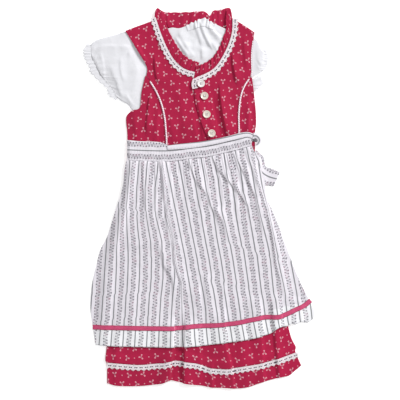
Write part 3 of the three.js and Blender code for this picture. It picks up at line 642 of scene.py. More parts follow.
def sew_sheet(name, x, y, z, cloth, look, nodes=(), thickness=CLOTH_WALL):
    """One layer of cloth with its thickness below it, with the cut's own millimetres in its UV map."""
    thing = link(name, grid_mesh(name, x, y, z, cloth))
    thicken(thing, thickness)
    finish_piece(thing, look, nodes)
    declare_cut(cloth)


def sew_double(node, x, y, upper, under, cloth_u, cloth_v):
    """Upper and under side as one flat tube, open at its ends; each pair holds both sides' values."""
    spots = [np.vstack([a, b[::-1]]) for a, b in ((x, x), (y, y), (upper, under))]
    cloth = [np.vstack([a, b[::-1]]) for a, b in (cloth_u, cloth_v)]
    name = f"{node}_cloth"
    mesh = grid_mesh(name, *(part.T for part in spots), [part.T for part in cloth], closed=True)
    outward(mesh)
    thing = link(name, mesh)
    thicken(thing, THIN_WALL)
    finish_piece(thing, "blouse", [node])
    declare_cut(cloth)


def outward(mesh):
    """Turns an open tube's faces away from its hollow."""
    height = np.array([face.center.z for face in mesh.polygons])
    facing = np.array([face.normal.z for face in mesh.polygons])
    if (facing * np.sign(height - np.median(height))).sum() < 0:
        mesh.flip_normals()


def true_cloth(x, y, z, start=(0.0, 0.0)):
    """The cloth's own coordinates measured over its waves: along each row and up the columns."""
    points = np.stack([x, y, z], -1)
    rows = np.array([reach(row) - reach(row)[-1] / 2 for row in points])
    up = np.mean([reach(points[:, column]) for column in range(points.shape[1])], axis=0)
    return start[0] + rows, start[1] + up[:, None] + 0 * x


def turned(x, y, degrees, take=0.0):
    """The cloth's own coordinates when its grain is turned against the layout."""
    c, s = math.cos(math.radians(degrees)), math.sin(math.radians(degrees))
    return (x + take) * c + y * s, y * c - (x + take) * s


# ---- Sizes and colours a user would change ----
class DirndlSizes(bpy.types.PropertyGroup):
    apron_gathers: IntProperty(name="Apron gathers", description="Gathers under the waistband", default=46)
    ruffle_gathers: IntProperty(name="Ruffle gathers", description="Gathers in a front ruffle", default=17)
    lace_pitch: FloatProperty(name="Lace repeat", description="Length of one lace repeat, mm", default=9.5)
    stripe_pitch: FloatProperty(name="Stripe pitch", description="Stripe to stripe, mm", default=21.6)
    sprig_pitch: FloatProperty(name="Sprig pitch", description="Sprig to sprig in a row, mm", default=26.2)
    button_radius: FloatProperty(name="Button radius", description="Radius of a button, mm", default=6.9)
    camera_height: FloatProperty(name="Camera height", description="Camera above the floor", default=1.7,
                                 subtype="DISTANCE")


def colour(name, value):
    return FloatVectorProperty(
        name=name, description=f"Colour of the {name.lower()}", subtype="COLOR", size=3, default=value,
        min=0, max=1)


class DirndlColours(bpy.types.PropertyGroup):
    dress: colour("Dress ground", (0.415, 0.0062, 0.053))
    blossom: colour("Sprig blossoms", (0.76, 0.36, 0.43))
    stem: colour("Sprig stems", (0.30, 0.10, 0.13))
    apron: colour("Apron ground", (0.755, 0.725, 0.78))
    apron_facing: colour("Apron hem ground", (0.86, 0.86, 0.89))
    stripe: colour("Apron stripes", (0.185, 0.190, 0.203))
    apron_dot: colour("Apron dots", (0.070, 0.062, 0.085))
    apron_pink: colour("Apron pink dots", (0.27, 0.11, 0.17))
    blouse: colour("Blouse", (0.755, 0.755, 0.79))
    lace: colour("Lace", (0.97, 0.89, 0.93))
    ribbon: colour("Ribbon", (0.72, 0.082, 0.21))
    piping: colour("Piping", (0.90, 0.76, 0.82))
    button: colour("Buttons", (0.79, 0.72, 0.63))


def shade(tint, strength=1.0):
    return tuple(min(1.0, part * strength) for part in tint)


# ---- Trees of nodes ----
def feed(tree, socket, value):
    """Links a socket to another one, or sets it to a number, a vector or a colour."""
    value = getattr(value, "socket", value)
    if isinstance(value, bpy.types.NodeSocket):
        tree.links.new(value, socket)
    else:
        socket.default_value = (*value, 1) if socket.type == "RGBA" and len(value) == 3 else value


def add_node(tree, kind, inputs=(), **settings):
    """Adds a node, with its inputs by name or number, and returns its outputs."""
    made = tree.nodes.new(kind)
    for name, value in settings.items():
        setattr(made, name, value)
    for key, value in dict(inputs).items():
        feed(tree, made.inputs[key], value)
    return made.outputs


def arithmetic(operation, swapped=False):
    def step(value, *others):
        values = (*others, value) if swapped else (value, *others)
        made = add_node(value.tree, "ShaderNodeMath", enumerate(values), operation=operation)
        return Value(value.tree, made[0])
    return step


class Value:
    """A socket of a material's tree that joins in plain arithmetic."""

    def __init__(self, tree, socket):
        self.tree, self.socket = tree, socket

    __add__ = __radd__ = arithmetic("ADD")
    __mul__ = __rmul__ = arithmetic("MULTIPLY")
    __sub__, __rsub__ = arithmetic("SUBTRACT"), arithmetic("SUBTRACT", swapped=True)
    __truediv__, __mod__ = arithmetic("DIVIDE"), arithmetic("FLOORED_MODULO")
    __abs__, floor, root = arithmetic("ABSOLUTE"), arithmetic("FLOOR"), arithmetic("SQRT")
    sine, cosine = arithmetic("SINE"), arithmetic("COSINE")
    least, most = arithmetic("MINIMUM"), arithmetic("MAXIMUM")

    def soft(self, start, end):
        """Rises from 0 at start to 1 at end, or falls when start is the larger."""
        flip = start > end
        values = (self, min(start, end), max(start, end), float(flip), float(not flip))
        made = add_node(self.tree, "ShaderNodeMapRange", enumerate(values), interpolation_type="SMOOTHSTEP")
        return Value(self.tree, made[0])


def distance(p, q, centre=(0.0, 0.0)):
    dp, dq = p - centre[0], q - centre[1]
    return (dp * dp + dq * dq).root()


def line_distance(p, q, end):
    """Distance from the straight line between the middle and a point."""
    length = math.hypot(*end)
    ux, uy = end[0] / length, end[1] / length
    run = (p * ux + q * uy).most(0.0).least(length)
    return distance(p - run * ux, q - run * uy)


def repeat(value, pitch, shift=0.0):
    """Distance from the middle of each repeat, and the repeat's number."""
    cell = value / pitch + shift
    number = cell.floor()
    return (cell - number - 0.5) * pitch, number


def lowest(values):
    return functools.reduce(Value.least, values)


def waves(value, length):
    return (value * (2 * math.pi / length)).sine()


# ---- Materials ----
class Recipe:
    """A cloth's material, written as lines of shader arithmetic."""

    def __init__(self, name, roughness=0.85, sheen=0.0):
        self.material = bpy.data.materials.new(name)
        self.material.use_nodes = True
        self.tree = self.material.node_tree
        self.shader = self.tree.nodes["Principled BSDF"]
        self.set_shader(Roughness=roughness, Sheen_Weight=sheen, Specular_IOR_Level=0.25)

    def set_shader(self, **inputs):
        for name, value in inputs.items():
            feed(self.tree, self.shader.inputs[name.replace("_", " ")], value)

    def mix(self, share, first, second):
        return add_node(self.tree, "ShaderNodeMix", {0: share, 6: first, 7: second}, data_type="RGBA")[2]

    def cloth(self):
        """The cloth's own coordinates, millimetres across and along."""
        spot = add_node(self.tree, "ShaderNodeUVMap", uv_map="Cloth")[0]
        parts = add_node(self.tree, "ShaderNodeSeparateXYZ", {0: spot})
        return Value(self.tree, parts[0]), Value(self.tree, parts[1])

    def noise(self, scale, detail=2.0):
        place = add_node(self.tree, "ShaderNodeTexCoord")["Object"]
        inputs = {"Scale": scale, "Detail": detail, "Vector": place}
        return Value(self.tree, add_node(self.tree, "ShaderNodeTexNoise", inputs)[0])

    def weave(self, u, v, thread=0.55, depth=0.00006, crinkle=0.0005, crinkle_size=70.0, extra=None):
        """Threads across and along, with soft small creases and one more relief on top."""
        threads, creases = waves(u, thread) * waves(v, thread), self.noise(crinkle_size, 3.0)
        reliefs = [(0.5, depth, threads), (1.0, crinkle, creases)]
        if extra is not None:
            reliefs.append((1.0, 0.0002, extra))
        below = {}
        for strength, deep, height in reliefs:
            inputs = {"Strength": strength, "Distance": deep, "Height": height, **below}
            below = {"Normal": add_node(self.tree, "ShaderNodeBump", inputs)[0]}
        self.set_shader(**below)

    def paint(self, colour):
        self.set_shader(Base_Color=colour)
        return self.material


def sprig(p, q, column, row, tilt):
    """Distance to the stems, the blossoms and their tips of one sprig; every other one hangs down."""
    angle = (column * 5.3 + row * 12.9).sine() * 0.5 + column % 2.0 * math.pi + tilt
    c, s = angle.cosine(), angle.sine()
    a, b = p * c - q * s, p * s + q * c
    stems, blossoms, tips = [], [], []
    for x, y in ((-2.9, 2.7), (3.1, 3.1), (0.5, -3.7)):
        blossoms.append(line_distance(a - x * 0.52, b - y * 0.52, (x * 0.46, y * 0.46)))
        length = math.hypot(x, y)
        for side in (-0.75, 0.75):
            tips.append(distance(a, b, (x - y / length * side, y + x / length * side)))
        stems.append(line_distance(a, b, (x, y)))
    return stems, blossoms, tips


SPRIG_RISE = 31.2


def dress_cotton(sizes, colours):
    recipe = Recipe("Sprigged cotton", roughness=0.82, sheen=0.12)
    u, v = recipe.cloth()
    stems, blossoms, tips, dots = [], [], [], []
    for shift, tilt in ((0.0, 0.12), (0.5, -0.1)):
        p, column = repeat(u, sizes.sprig_pitch, shift)
        q, row = repeat(v, SPRIG_RISE, shift)
        for all_parts, parts in zip((stems, blossoms, tips), sprig(p, q, column, row, tilt)):
            all_parts += parts
        beside, _ = repeat(u, sizes.sprig_pitch, shift + 0.5)
        dots.append(distance(beside, q, (0.6, -0.8)))
    printed = recipe.mix(recipe.noise(9.0).soft(0.35, 0.7), shade(colours.dress, 0.9), shade(colours.dress))
    for parts, outer, inner, strength, tint in (
        (stems, 0.85, 0.4, 0.85, shade(colours.stem)),
        (dots, 1.25, 0.75, 0.95, shade(colours.blossom, 0.9)),
        (blossoms, 1.3, 0.75, 0.9, shade(colours.blossom, 0.78)),
        (tips, 0.85, 0.4, 0.8, shade(colours.blossom, 1.15)),
    ):
        printed = recipe.mix(lowest(parts).soft(outer, inner) * strength, printed, tint)
    recipe.weave(u, v, crinkle=0.0007)
    return recipe.paint(printed)


# A dotted strip runs up between two stripes: each column's place across, its shift, how much smaller
DOT_COLUMNS = [(-2.7, 0.0, -0.1), (2.7, 0.5, -0.1), (0.0, 0.27, 0.5), (0.2, 0.78, 0.55)]
DOT_PITCH, VINE_LENGTH = 5.3, 22.0


def apron_cotton(sizes, colours, name="Striped apron cotton", dots_seen=0.78):
    recipe = Recipe(name, roughness=0.85, sheen=0.1)
    u, v = recipe.cloth()
    pitch = sizes.stripe_pitch
    across, number = repeat(u, pitch)
    stripe = abs(across).soft(pitch / 2 - 1.25, pitch / 2 - 0.85)
    vine = across - (v * (2 * math.pi / VINE_LENGTH) + number).sine() * 0.6
    dots = []
    for place, shift, smaller in DOT_COLUMNS:
        bead, bead_number = repeat(v, DOT_PITCH, shift)
        chance = (bead_number * 4.7 + number * (2.9 + place)).sine()
        dots.append(distance(vine - place, bead) + chance.soft(0.3, 0.9) * 0.4 + smaller)
    strip = abs(vine).soft(5.2, 4.0)
    shown = (strip * (0.2 * dots_seen)).most(lowest(dots).soft(1.75, 1.2) * dots_seen)
    ground = recipe.mix(v.soft(36.0, 34.0), shade(colours.apron), shade(colours.apron_facing))
    pink = recipe.noise(120.0, 1.0).soft(0.55, 0.66) * 0.7
    ink = recipe.mix(pink, shade(colours.apron_dot), shade(colours.apron_pink))
    printed = recipe.mix(shown, ground, ink)
    recipe.weave(u, v, crinkle=0.0006)
    return recipe.paint(recipe.mix(stripe * 0.92, printed, shade(colours.stripe)))


def blouse_cotton(tint):
    recipe = Recipe("Blouse cotton", roughness=0.88, sheen=0.1)
    recipe.weave(*recipe.cloth(), thread=0.5, crinkle=0.0009, crinkle_size=45.0)
    return recipe.paint(recipe.mix(recipe.noise(14.0).soft(0.3, 0.7), shade(tint, 0.95), shade(tint)))


DARK_SLOT_MAP = 50.0


def lace_cotton(tint):
    """Looped cotton; one fixed map value marks the dark sheet that shows through the lace's slots."""
    recipe = Recipe("Cotton lace", roughness=0.9)
    u, v = recipe.cloth()
    loops = waves(u, 0.9) * waves(v, 0.9)
    recipe.weave(u, v, thread=0.7, depth=0.00015, crinkle=0.0001, extra=loops)
    # The low parts of the loop relief are painted slightly darker: painted shade in the hollows of the
    # loops
    loops_painted_shade = recipe.mix(loops.soft(0.1, -0.8) * 0.1, shade(tint), shade(tint, 0.6))
    dark_slots = v.soft(DARK_SLOT_MAP - 20, DARK_SLOT_MAP - 10)
    return recipe.paint(recipe.mix(dark_slots, loops_painted_shade, (0.10, 0.08, 0.10)))


def satin_ribbon(tint):
    recipe = Recipe("Satin ribbon", roughness=0.5, sheen=0.2)
    u, v = recipe.cloth()
    recipe.weave(u, v, thread=0.4, crinkle=0.0002, extra=waves(u, 0.8))
    return recipe.paint(recipe.mix(abs(v).soft(3.0, 3.6), shade(tint), shade(tint, 0.72)))


def piping_cotton(tint):
    recipe = Recipe("Twisted piping", roughness=0.75)
    u, v = recipe.cloth()
    twist, number = repeat(u + v * 0.9, 4.2)
    # Darker between the cord's twists: a darker tint or near black, changing from twist to twist
    between_twists = recipe.mix((number * 1.7).sine().soft(0.1, 0.5), shade(tint, 0.6), (0.12, 0.03, 0.06))
    recipe.weave(u, v, thread=0.4, crinkle=0.0001, extra=twist)
    return recipe.paint(recipe.mix(abs(twist).soft(1.3, 1.8) * 0.85, shade(tint), between_twists))


def pearl_button(name, tint):
    recipe = Recipe(name, roughness=0.28)
    recipe.set_shader(Specular_IOR_Level=0.5, Coat_Weight=0.3)
    cloud = recipe.noise(260.0, 3.0).soft(0.35, 0.65)
    return recipe.paint(recipe.mix(cloud, shade(tint, 0.86), shade(tint)))


def thread_cotton(name, tint):
    recipe = Recipe(name, roughness=0.7)
    return recipe.paint(recipe.mix(recipe.noise(900.0, 1.0), shade(tint, 0.85), shade(tint)))


MATERIALS = {}


def cut_cloths():
    """Makes the materials; each look names a material and a slot name, which nothing uses."""
    sizes, colours = bpy.context.scene.dirndl_sizes, bpy.context.scene.dirndl_colours
    white_thread = thread_cotton("White thread", (0.86, 0.84, 0.86))
    MATERIALS.update(
        dress=(dress_cotton(sizes, colours), "dress_cotton"),
        apron=(apron_cotton(sizes, colours), "apron_cotton"),
        apron_reverse=(apron_cotton(sizes, colours, "Striped apron cotton reverse", 0.16), "apron_cotton"),
        blouse=(blouse_cotton(colours.blouse), "blouse_cotton"),
        lace=(lace_cotton(colours.lace), "cotton_lace"),
        ribbon=(satin_ribbon(colours.ribbon), "apron_ribbon"),
        piping=(piping_cotton(colours.piping), "piping_cotton"),
        button=(pearl_button("Cream button", colours.button), "button_pearl"),
        button_top=(pearl_button("White button", (0.88, 0.86, 0.84)), "button_pearl"),
        red_thread=(thread_cotton("Red thread", (0.40, 0.02, 0.06)), "dress_cotton"),
        white_thread=(white_thread, "apron_cotton"),
        button_thread=(white_thread, "button_pearl"),
    )


# ---- Geometry Nodes: repeats ----
def new_repeat(name, **inputs):
    """A tree with named inputs, and the outputs of its group input."""
    tree = bpy.data.node_groups.new(name, "GeometryNodeTree")
    tree.interface.new_socket(name="Geometry", in_out="OUTPUT", socket_type="NodeSocketGeometry")
    for label, kind in {"Geometry": "Geometry", **inputs, "Material": "Material"}.items():
        tree.interface.new_socket(name=label, in_out="INPUT", socket_type=f"NodeSocket{kind}")
    return tree, add_node(tree, "NodeGroupInput")


def finish_repeat(tree, copies, material):
    real = add_node(tree, "GeometryNodeRealizeInstances", {0: copies})
    paint = add_node(tree, "GeometryNodeSetMaterial", {0: real[0], "Material": material})
    add_node(tree, "NodeGroupOutput", {0: paint[0]})
    return tree


def row_repeat():
    """Copies a motif along X."""
    tree, given = new_repeat("Motif row", Count="Int", Pitch="Float")
    step = add_node(tree, "ShaderNodeCombineXYZ", {0: given["Pitch"]})
    line = add_node(tree, "GeometryNodeMeshLine", {"Count": given["Count"], "Offset": step[0]})
    inputs = {"Points": line[0], "Instance": given["Geometry"]}
    copies = add_node(tree, "GeometryNodeInstanceOnPoints", inputs)
    return finish_repeat(tree, copies[0], given["Material"])


def stitch_repeat():
    """Lays short stitches along a path."""
    tree, given = new_repeat("Stitch row", Pitch="Float", Size="Vector")
    path = add_node(tree, "GeometryNodeMeshToCurve", {0: given["Geometry"]})
    inputs = {0: path[0], "Length": given["Pitch"]}
    even = add_node(tree, "GeometryNodeResampleCurve", inputs, mode="LENGTH")
    tangent = add_node(tree, "GeometryNodeInputTangent")
    turn = add_node(tree, "FunctionNodeAlignRotationToVector", {"Vector": tangent[0]}, axis="X")
    ball = add_node(tree, "GeometryNodeMeshIcoSphere", {"Radius": 0.5, "Subdivisions": 2})
    inputs = {"Points": even[0], "Instance": ball[0], "Rotation": turn[0], "Scale": given["Size"]}
    copies = add_node(tree, "GeometryNodeInstanceOnPoints", inputs)
    return finish_repeat(tree, copies[0], given["Material"])


def applied(thing, tree, values):
    """Runs a tree on an object, which is then removed, and returns the result as a plain mesh."""
    modifier = thing.modifiers.new(tree.name, "NODES")
    modifier.node_group = tree
    for item in tree.interface.items_tree:
        if item.item_type == "SOCKET" and item.in_out == "INPUT" and item.name in values:
            modifier[item.identifier] = values[item.name]
    mesh = evaluated(thing)
    bpy.data.objects.remove(thing)
    return mesh


STITCH = (1.9, 0.55, 0.45)


def stitch_row(name, path, surface, thread, pitch=2.6, lift=0.15):
    """A seam's stitches on a surface, along a path in millimetres."""
    points = along(path, shares(max(8, int(reach(path)[-1] / 3))))
    z = surface(points[:, 0], points[:, 1]) + lift
    guide = bpy.data.meshes.new(f"{name} path")
    edges = [(i, i + 1) for i in range(len(points) - 1)]
    guide.from_pydata(place_points(points[:, 0], points[:, 1], z).tolist(), edges, [])
    tree = bpy.data.node_groups.get("Stitch row") or stitch_repeat()
    size = tuple(part * MM for part in STITCH)
    values = {"Pitch": pitch * MM, "Size": size, "Material": MATERIALS[thread][0]}
    stitches = link(name, applied(link(f"{name} guide", guide), tree, values))
    stitches.data.shade_smooth()
    finish_piece(stitches, thread)


# ---- Lace ----
LACE_COLUMNS, LACE_ROWS, LACE_SLOTS = (-2.8, -0.4, 0.4, 2.8), (-3.3, -1.1, 0.9, 4.5), ((1, 1), (1, 3))
LACE_BASE, LACE_DROP, SCALLOP_POINTS = -3.5, 3.4, 18
# A dark sheet under the two slots, which shows through them
DARK_SLOT_SHEET = [(-4, -1.3, -0.35), (4, -1.3, -0.35), (4, 1.1, -0.35), (-4, 1.1, -0.35)]


def lace_motif(half):
    """One repeat: a straight head, two slots over a dark sheet, and a pointed scallop below."""
    mesh = bpy.data.meshes.new("Lace motif")
    shape = bmesh.new()
    grid = [[shape.verts.new((x, y, 0)) for x in (-half, *LACE_COLUMNS, half)] for y in LACE_ROWS]
    for row, (near, far) in enumerate(zip(grid, grid[1:])):
        for column in range(len(near) - 1):
            if (row, column) not in LACE_SLOTS:
                shape.faces.new((near[column], near[column + 1], far[column + 1], far[column]))
    scallop = []
    for step in range(1, SCALLOP_POINTS):
        drop = LACE_DROP * (1 - math.sin(math.pi * step / SCALLOP_POINTS)) ** 0.8
        scallop.append(shape.verts.new((-half + 2 * half * step / SCALLOP_POINTS, LACE_BASE - drop, 0)))
    shape.faces.new([grid[0][0], *scallop, *grid[0][:0:-1]])
    shape.faces.new([shape.verts.new(corner) for corner in DARK_SLOT_SHEET])
    shape.normal_update()
    bmesh.ops.triangulate(shape, faces=shape.faces[:])
    shape.normal_update()
    for face in shape.faces:
        if face.normal.z < 0:
            face.normal_flip()
    shape.to_mesh(mesh)
    shape.free()
    return mesh


def lace_run(name, table, surface, lift, nodes=(), scallops_left=False):
    """Lace bent along a path and laid on a surface; its scallops point to the path's right or left."""
    path = curve(table)
    pitch = bpy.context.scene.dirndl_sizes.lace_pitch
    count = max(2, round(reach(path)[-1] / pitch))
    tree = bpy.data.node_groups.get("Motif row") or row_repeat()
    values = {"Count": count, "Pitch": pitch, "Material": MATERIALS["lace"][0]}
    mesh = applied(link("Lace motif", lace_motif(pitch / 2)), tree, values)
    flat = np.empty(len(mesh.vertices) * 3, np.float32)
    mesh.vertices.foreach_get("co", flat)
    flat = flat.reshape(-1, 3).astype(float)
    run = (flat[:, 0] + pitch / 2) / (count * pitch)
    side = flat[:, 1] * (-1 if scallops_left else 1)
    step = 0.004
    direction = unit(along(path, np.minimum(run + step, 1)) - along(path, np.maximum(run - step, 0)))
    middle = along(path, run)
    x, y = middle[:, 0] - direction[:, 1] * side, middle[:, 1] + direction[:, 0] * side
    z = surface(x, y) + lift + flat[:, 2] + 0.12 * np.sin(run * count * 2 * np.pi)
    mesh.vertices.foreach_set("co", place_points(x, y, z).astype(np.float32).ravel())
    # The dark sheet's vertices get one fixed map value, which the lace material paints near black
    map_cloth(mesh, np.where(flat[:, 2:] < -0.1, DARK_SLOT_MAP, flat[:, :2]))
    work = bmesh.new()
    work.from_mesh(mesh)
    bmesh.ops.remove_doubles(work, verts=work.verts, dist=0.00002)
    if scallops_left:
        bmesh.ops.reverse_faces(work, faces=work.faces[:])
    work.to_mesh(mesh)
    work.free()
    thing = link(name, mesh)
    thicken(thing, THIN_WALL, 1)
    finish_piece(thing, "lace", nodes)


# ---- Pieces of the dress ----
BACK_INSET = 0.006


def sew_back(node, bottom, top, left, right, level, wall, look):
    """A hidden back, flat on what it lies on, a little inside the front's outline."""
    columns, rows = (BACK_INSET + (1 - 2 * BACK_INSET) * shares(count) for count in (24, 28))
    x, y, _, _ = fill(bottom, top, left, right, columns, rows)
    z = np.full_like(x, level + wall)
    sew_sheet(f"{node}_cloth", x, y, z, turned(x, y, 0), look, [node], thickness=0.9 * wall)


class DIRNDL_OT_bodice(bpy.types.Operator):
    """Sew the bodice: back, two fronts with the button placket and two side fronts"""
    bl_idname = "dirndl.bodice"
    bl_label = "Bodice"

    def execute(self, context):
        back_top = np.vstack([
            curve([*LEFT_SHOULDER[:2], BACK_NECKLINE[0]]), curve(BACK_NECKLINE),
            curve([BACK_NECKLINE[-1], *RIGHT_SHOULDER[1:]]),
        ])
        sew_back("bodice_back", np.array([(-130, 86.5), (99, 86.5)], float), back_top,
                 curve(LEFT_SIDE, LEFT_ARMHOLE), curve(RIGHT_SIDE, RIGHT_ARMHOLE), 0, DRESS_WALL, "dress")
        left_seam = np.vstack([curve(LEFT_PRINCESS), curve([LEFT_PRINCESS[-1]] + LEFT_ARMHOLE)])
        right_seam = np.vstack([curve(RIGHT_PRINCESS), curve([RIGHT_PRINCESS[-1]] + RIGHT_ARMHOLE)])
        left_centre = np.vstack([curve(LEFT_UNDERLAP), curve(LEFT_NECKLINE)])
        right_centre = np.vstack([curve(PLACKET), curve(RIGHT_NECKLINE)])
        left_inner = [(x - 0.6, y) for x, y in LEFT_PRINCESS]
        right_inner = [(x + 0.6, y) for x, y in RIGHT_PRINCESS]
        left_top = np.array([LEFT_SIDE[-1], left_inner[-1]], float)
        right_top = np.array([right_inner[-1], RIGHT_SIDE[-1]], float)
        for side, left, right, top, columns, rows, grain, surface in (
            ("front_left", left_seam, left_centre, curve(LEFT_SHOULDER), 100, 130, -4, bodice_top),
            ("front_right", right_centre, right_seam, curve(RIGHT_SHOULDER), 100, 130, 7, right_front_top),
            ("side_left", curve(LEFT_SIDE), curve(left_inner), left_top, 50, 90, -14, bodice_top),
            ("side_right", curve(right_inner), curve(RIGHT_SIDE), right_top, 36, 90, 16, bodice_top),
        ):
            bottom = np.array([left[0], right[0]])
            x, y, _, _ = fill(bottom, top, left, right, shares(columns), shares(rows))
            cloth = turned(x, y, grain, folds(BODICE_FOLDS, x, y)[1])
            sew_sheet(f"bodice_{side}_cloth", x, y, surface(x, y), cloth, "dress", [f"bodice_{side}"])
        return {"FINISHED"}


def gathered_strip(root, edge, gathers, rows, seed, sway, turn, tuck, calm_until, rough=lambda u: 1.0):
    """A strip with a swaying free edge: its grid, share across, waves, their phase and their strength."""
    inner, outer = curve(root), curve(edge)
    x, y, u, v = between(inner, outer, gathers * 10, rows)
    wave, phase = uneven_gathers(u, gathers, seed)
    strength = window(u, 0, calm_until, 0.95, 1) * rough(u)
    out = unit(along(outer, u[0]) - along(inner, u[0]))
    shift = tuck * (1 - v) + sway * v**2 * np.sin(2 * np.pi * phase + turn) * strength
    x, y = x + out[None, :, 0] * shift, y + out[None, :, 1] * shift
    return x, y, v, wave * strength, phase, strength


def sew_ruffle(node, root, edge, level, gathers, height, sway=0.8, lift=lambda x: 0, rough=lambda u: 1.0):
    """A gathered strip: tight small pleats at its root that open into waves at its free edge."""
    strip = gathered_strip(root, edge, gathers, 14, gathers + 7, sway, 0.7, -0.6, 0.04, rough)
    x, y, v, wave, phase, strength = strip
    pleat = (0.5 + 0.5 * np.cos(4 * np.pi * phase + 1.2)) * strength
    z = level + DRESS_WALL + height * wave * (0.25 + 0.75 * v) * np.sin(np.pi * (0.12 + 0.88 * v) / 1.35)
    z += 0.9 * pleat * np.sin(np.pi * np.clip(v * 1.1, 0, 1)) * (1 - v) + lift(x) * ease(v, 0.0, 0.3)
    sew_sheet(f"{node}_cloth", x, y, z, true_cloth(x, y, z, (0, 190)), "dress", [node],
              thickness=GATHERED_WALL)


class DIRNDL_OT_neck(bpy.types.Operator):
    """Gather the neck ruffle and lay the lace along its seam"""
    bl_idname = "dirndl.neck"
    bl_label = "Neck ruffle and lace"

    def execute(self, context):
        count = context.scene.dirndl_sizes.ruffle_gathers
        sew_ruffle("neck_ruffle_back", BACK_NECKLINE, BACK_RUFFLE_TOP, 0, 11, 1.5, sway=0.35,
                   lift=lambda x: BODICE_FRONT * (1 - ease(x, -78, -44)))
        sew_ruffle("neck_ruffle_left", LEFT_NECKLINE[:0:-1], LEFT_RUFFLE_EDGE, BODICE_FRONT, count, 3.0,
                   rough=lambda u: 0.2 + 0.8 * ease(u, 0.25, 0.62))
        sew_ruffle("neck_ruffle_right", RIGHT_NECKLINE[::-1], RIGHT_RUFFLE_EDGE, BODICE_FRONT, count, 3.0,
                   lift=lambda x: (OVERLAP + 0.3) * (1 - ease(x, 4, 18)),
                   rough=lambda u: 0.2 + 0.8 * ease(u, 0.2, 0.5))
        lace_run("neck_lace_left_trim", LEFT_LACE, bodice_top, 0.9, ["neck_lace_left"])
        lace_run("neck_lace_right_trim", RIGHT_LACE, right_front_top, 0.9, ["neck_lace_right"],
                 scallops_left=True)
        lace_run("neck_lace_end_trim", LACE_END, right_front_top, 1.6, scallops_left=True)
        return {"FINISHED"}


CORD_SIDES, CORD_STEPS = 14, 70


def sew_cord(name, rows, radius, lift, nodes=()):
    """A round cord sewn on the bodice along a path, tapered and closed at both ends."""
    path = along(curve(rows), shares(CORD_STEPS))
    heading = unit(np.gradient(path, axis=0))
    angle = 2 * np.pi * np.arange(CORD_SIDES)[None, :] / CORD_SIDES
    taper = np.ones((len(path), 1))
    taper[[0, -1]] = 0.05
    taper[[1, -2]] = 0.8
    spread = radius * np.cos(angle) * taper
    x = path[:, :1] - heading[:, 1:] * spread
    y = path[:, 1:] + heading[:, :1] * spread
    z = (bodice_top(path[:, 0], path[:, 1]) + lift)[:, None] + radius * np.sin(angle) * taper
    far = reach(path)[:, None] + 0 * angle
    mesh = grid_mesh(name, x, y, z, (far, angle * radius + 0 * far), closed=True)
    close_ends(mesh)
    finish_piece(link(name, mesh), "piping", nodes)


class DIRNDL_OT_piping(bpy.types.Operator):
    """Sew the twisted piping on the two princess seams and the stitching beside the placket"""
    bl_idname = "dirndl.piping"
    bl_label = "Piping and seams"

    def execute(self, context):
        sew_cord("piping_left_trim", LEFT_PIPING, 1.45, 0.9, ["piping_left"])
        sew_cord("piping_right_trim", RIGHT_PIPING, 1.45, 0.9, ["piping_right"])
        sew_cord("armhole_right_trim", ARMHOLE_CORD, 0.6, 0.5)
        placket = curve([(x + 2.5, y) for x, y in PLACKET])
        stitch_row("placket_stitches", placket, right_front_top, "red_thread")
        inner = curve([(x + 26, y) for x, y in PLACKET[1:-1]])
        stitch_row("placket_inner_stitches", inner, right_front_top, "red_thread")
        return {"FINISHED"}


BUTTON_STEPS, BUTTON_DISH = 40, 1.75
HOLE_SPREAD, HOLE_RADIUS = 1.75, 0.85
THREAD_RADIUS, THREAD_SIDES = 0.35, 8


def button_mesh(name, radius):
    """A turned button, rim and dished middle, as rings of a profile that gives distance and height."""
    profile = [
        (0.0, 0.0), (radius - 1.0, 0.0), (radius - 0.3, 0.25), (radius, 0.8), (radius, 1.7),
        (radius - 0.35, 2.3), (radius - 0.9, 2.45), (radius - 1.5, 2.2), (radius - 2.0, 1.75),
        (radius - 2.6, 1.6), (0.0, 1.5),
    ]
    turn = [2 * math.pi * step / BUTTON_STEPS for step in range(BUTTON_STEPS)]
    shape = bmesh.new()
    rings = []
    for r, z in profile:
        spots = [(r * MM * math.cos(angle), r * MM * math.sin(angle), z * MM) for angle in turn]
        if r:
            rings.append([shape.verts.new(spot) for spot in spots])
        else:
            rings.append([shape.verts.new(spots[0])] * BUTTON_STEPS)
    for lower, upper in zip(rings, rings[1:]):
        for step in range(BUTTON_STEPS):
            after = (step + 1) % BUTTON_STEPS
            corners = dict.fromkeys((lower[step], lower[after], upper[after], upper[step]))
            shape.faces.new(tuple(corners))
    bmesh.ops.recalc_face_normals(shape, faces=shape.faces[:])
    mesh = bpy.data.meshes.new(name)
    shape.to_mesh(mesh)
    shape.free()
    return mesh


def drill_holes(thing):
    """Cuts four thread holes through a button."""
    shape = bmesh.new()
    for step in range(4):
        angle = math.pi / 4 + step * math.pi / 2
        made = bmesh.ops.create_cone(shape, cap_ends=True, segments=16, radius1=HOLE_RADIUS * MM,
                                     radius2=HOLE_RADIUS * MM, depth=10 * MM)
        spot = (HOLE_SPREAD * MM * math.cos(angle), HOLE_SPREAD * MM * math.sin(angle), 0)
        bmesh.ops.translate(shape, verts=made["verts"], vec=spot)
    mesh = bpy.data.meshes.new("Drill")
    shape.to_mesh(mesh)
    shape.free()
    drill = link("Drill", mesh)
    cut = thing.modifiers.new("Holes", "BOOLEAN")
    cut.operation = "DIFFERENCE"
    cut.object = drill
    thing.data = evaluated(thing)
    bpy.data.objects.remove(drill)
    thing.data.shade_smooth()
    thing.data.set_sharp_from_angle(angle=math.radians(40))


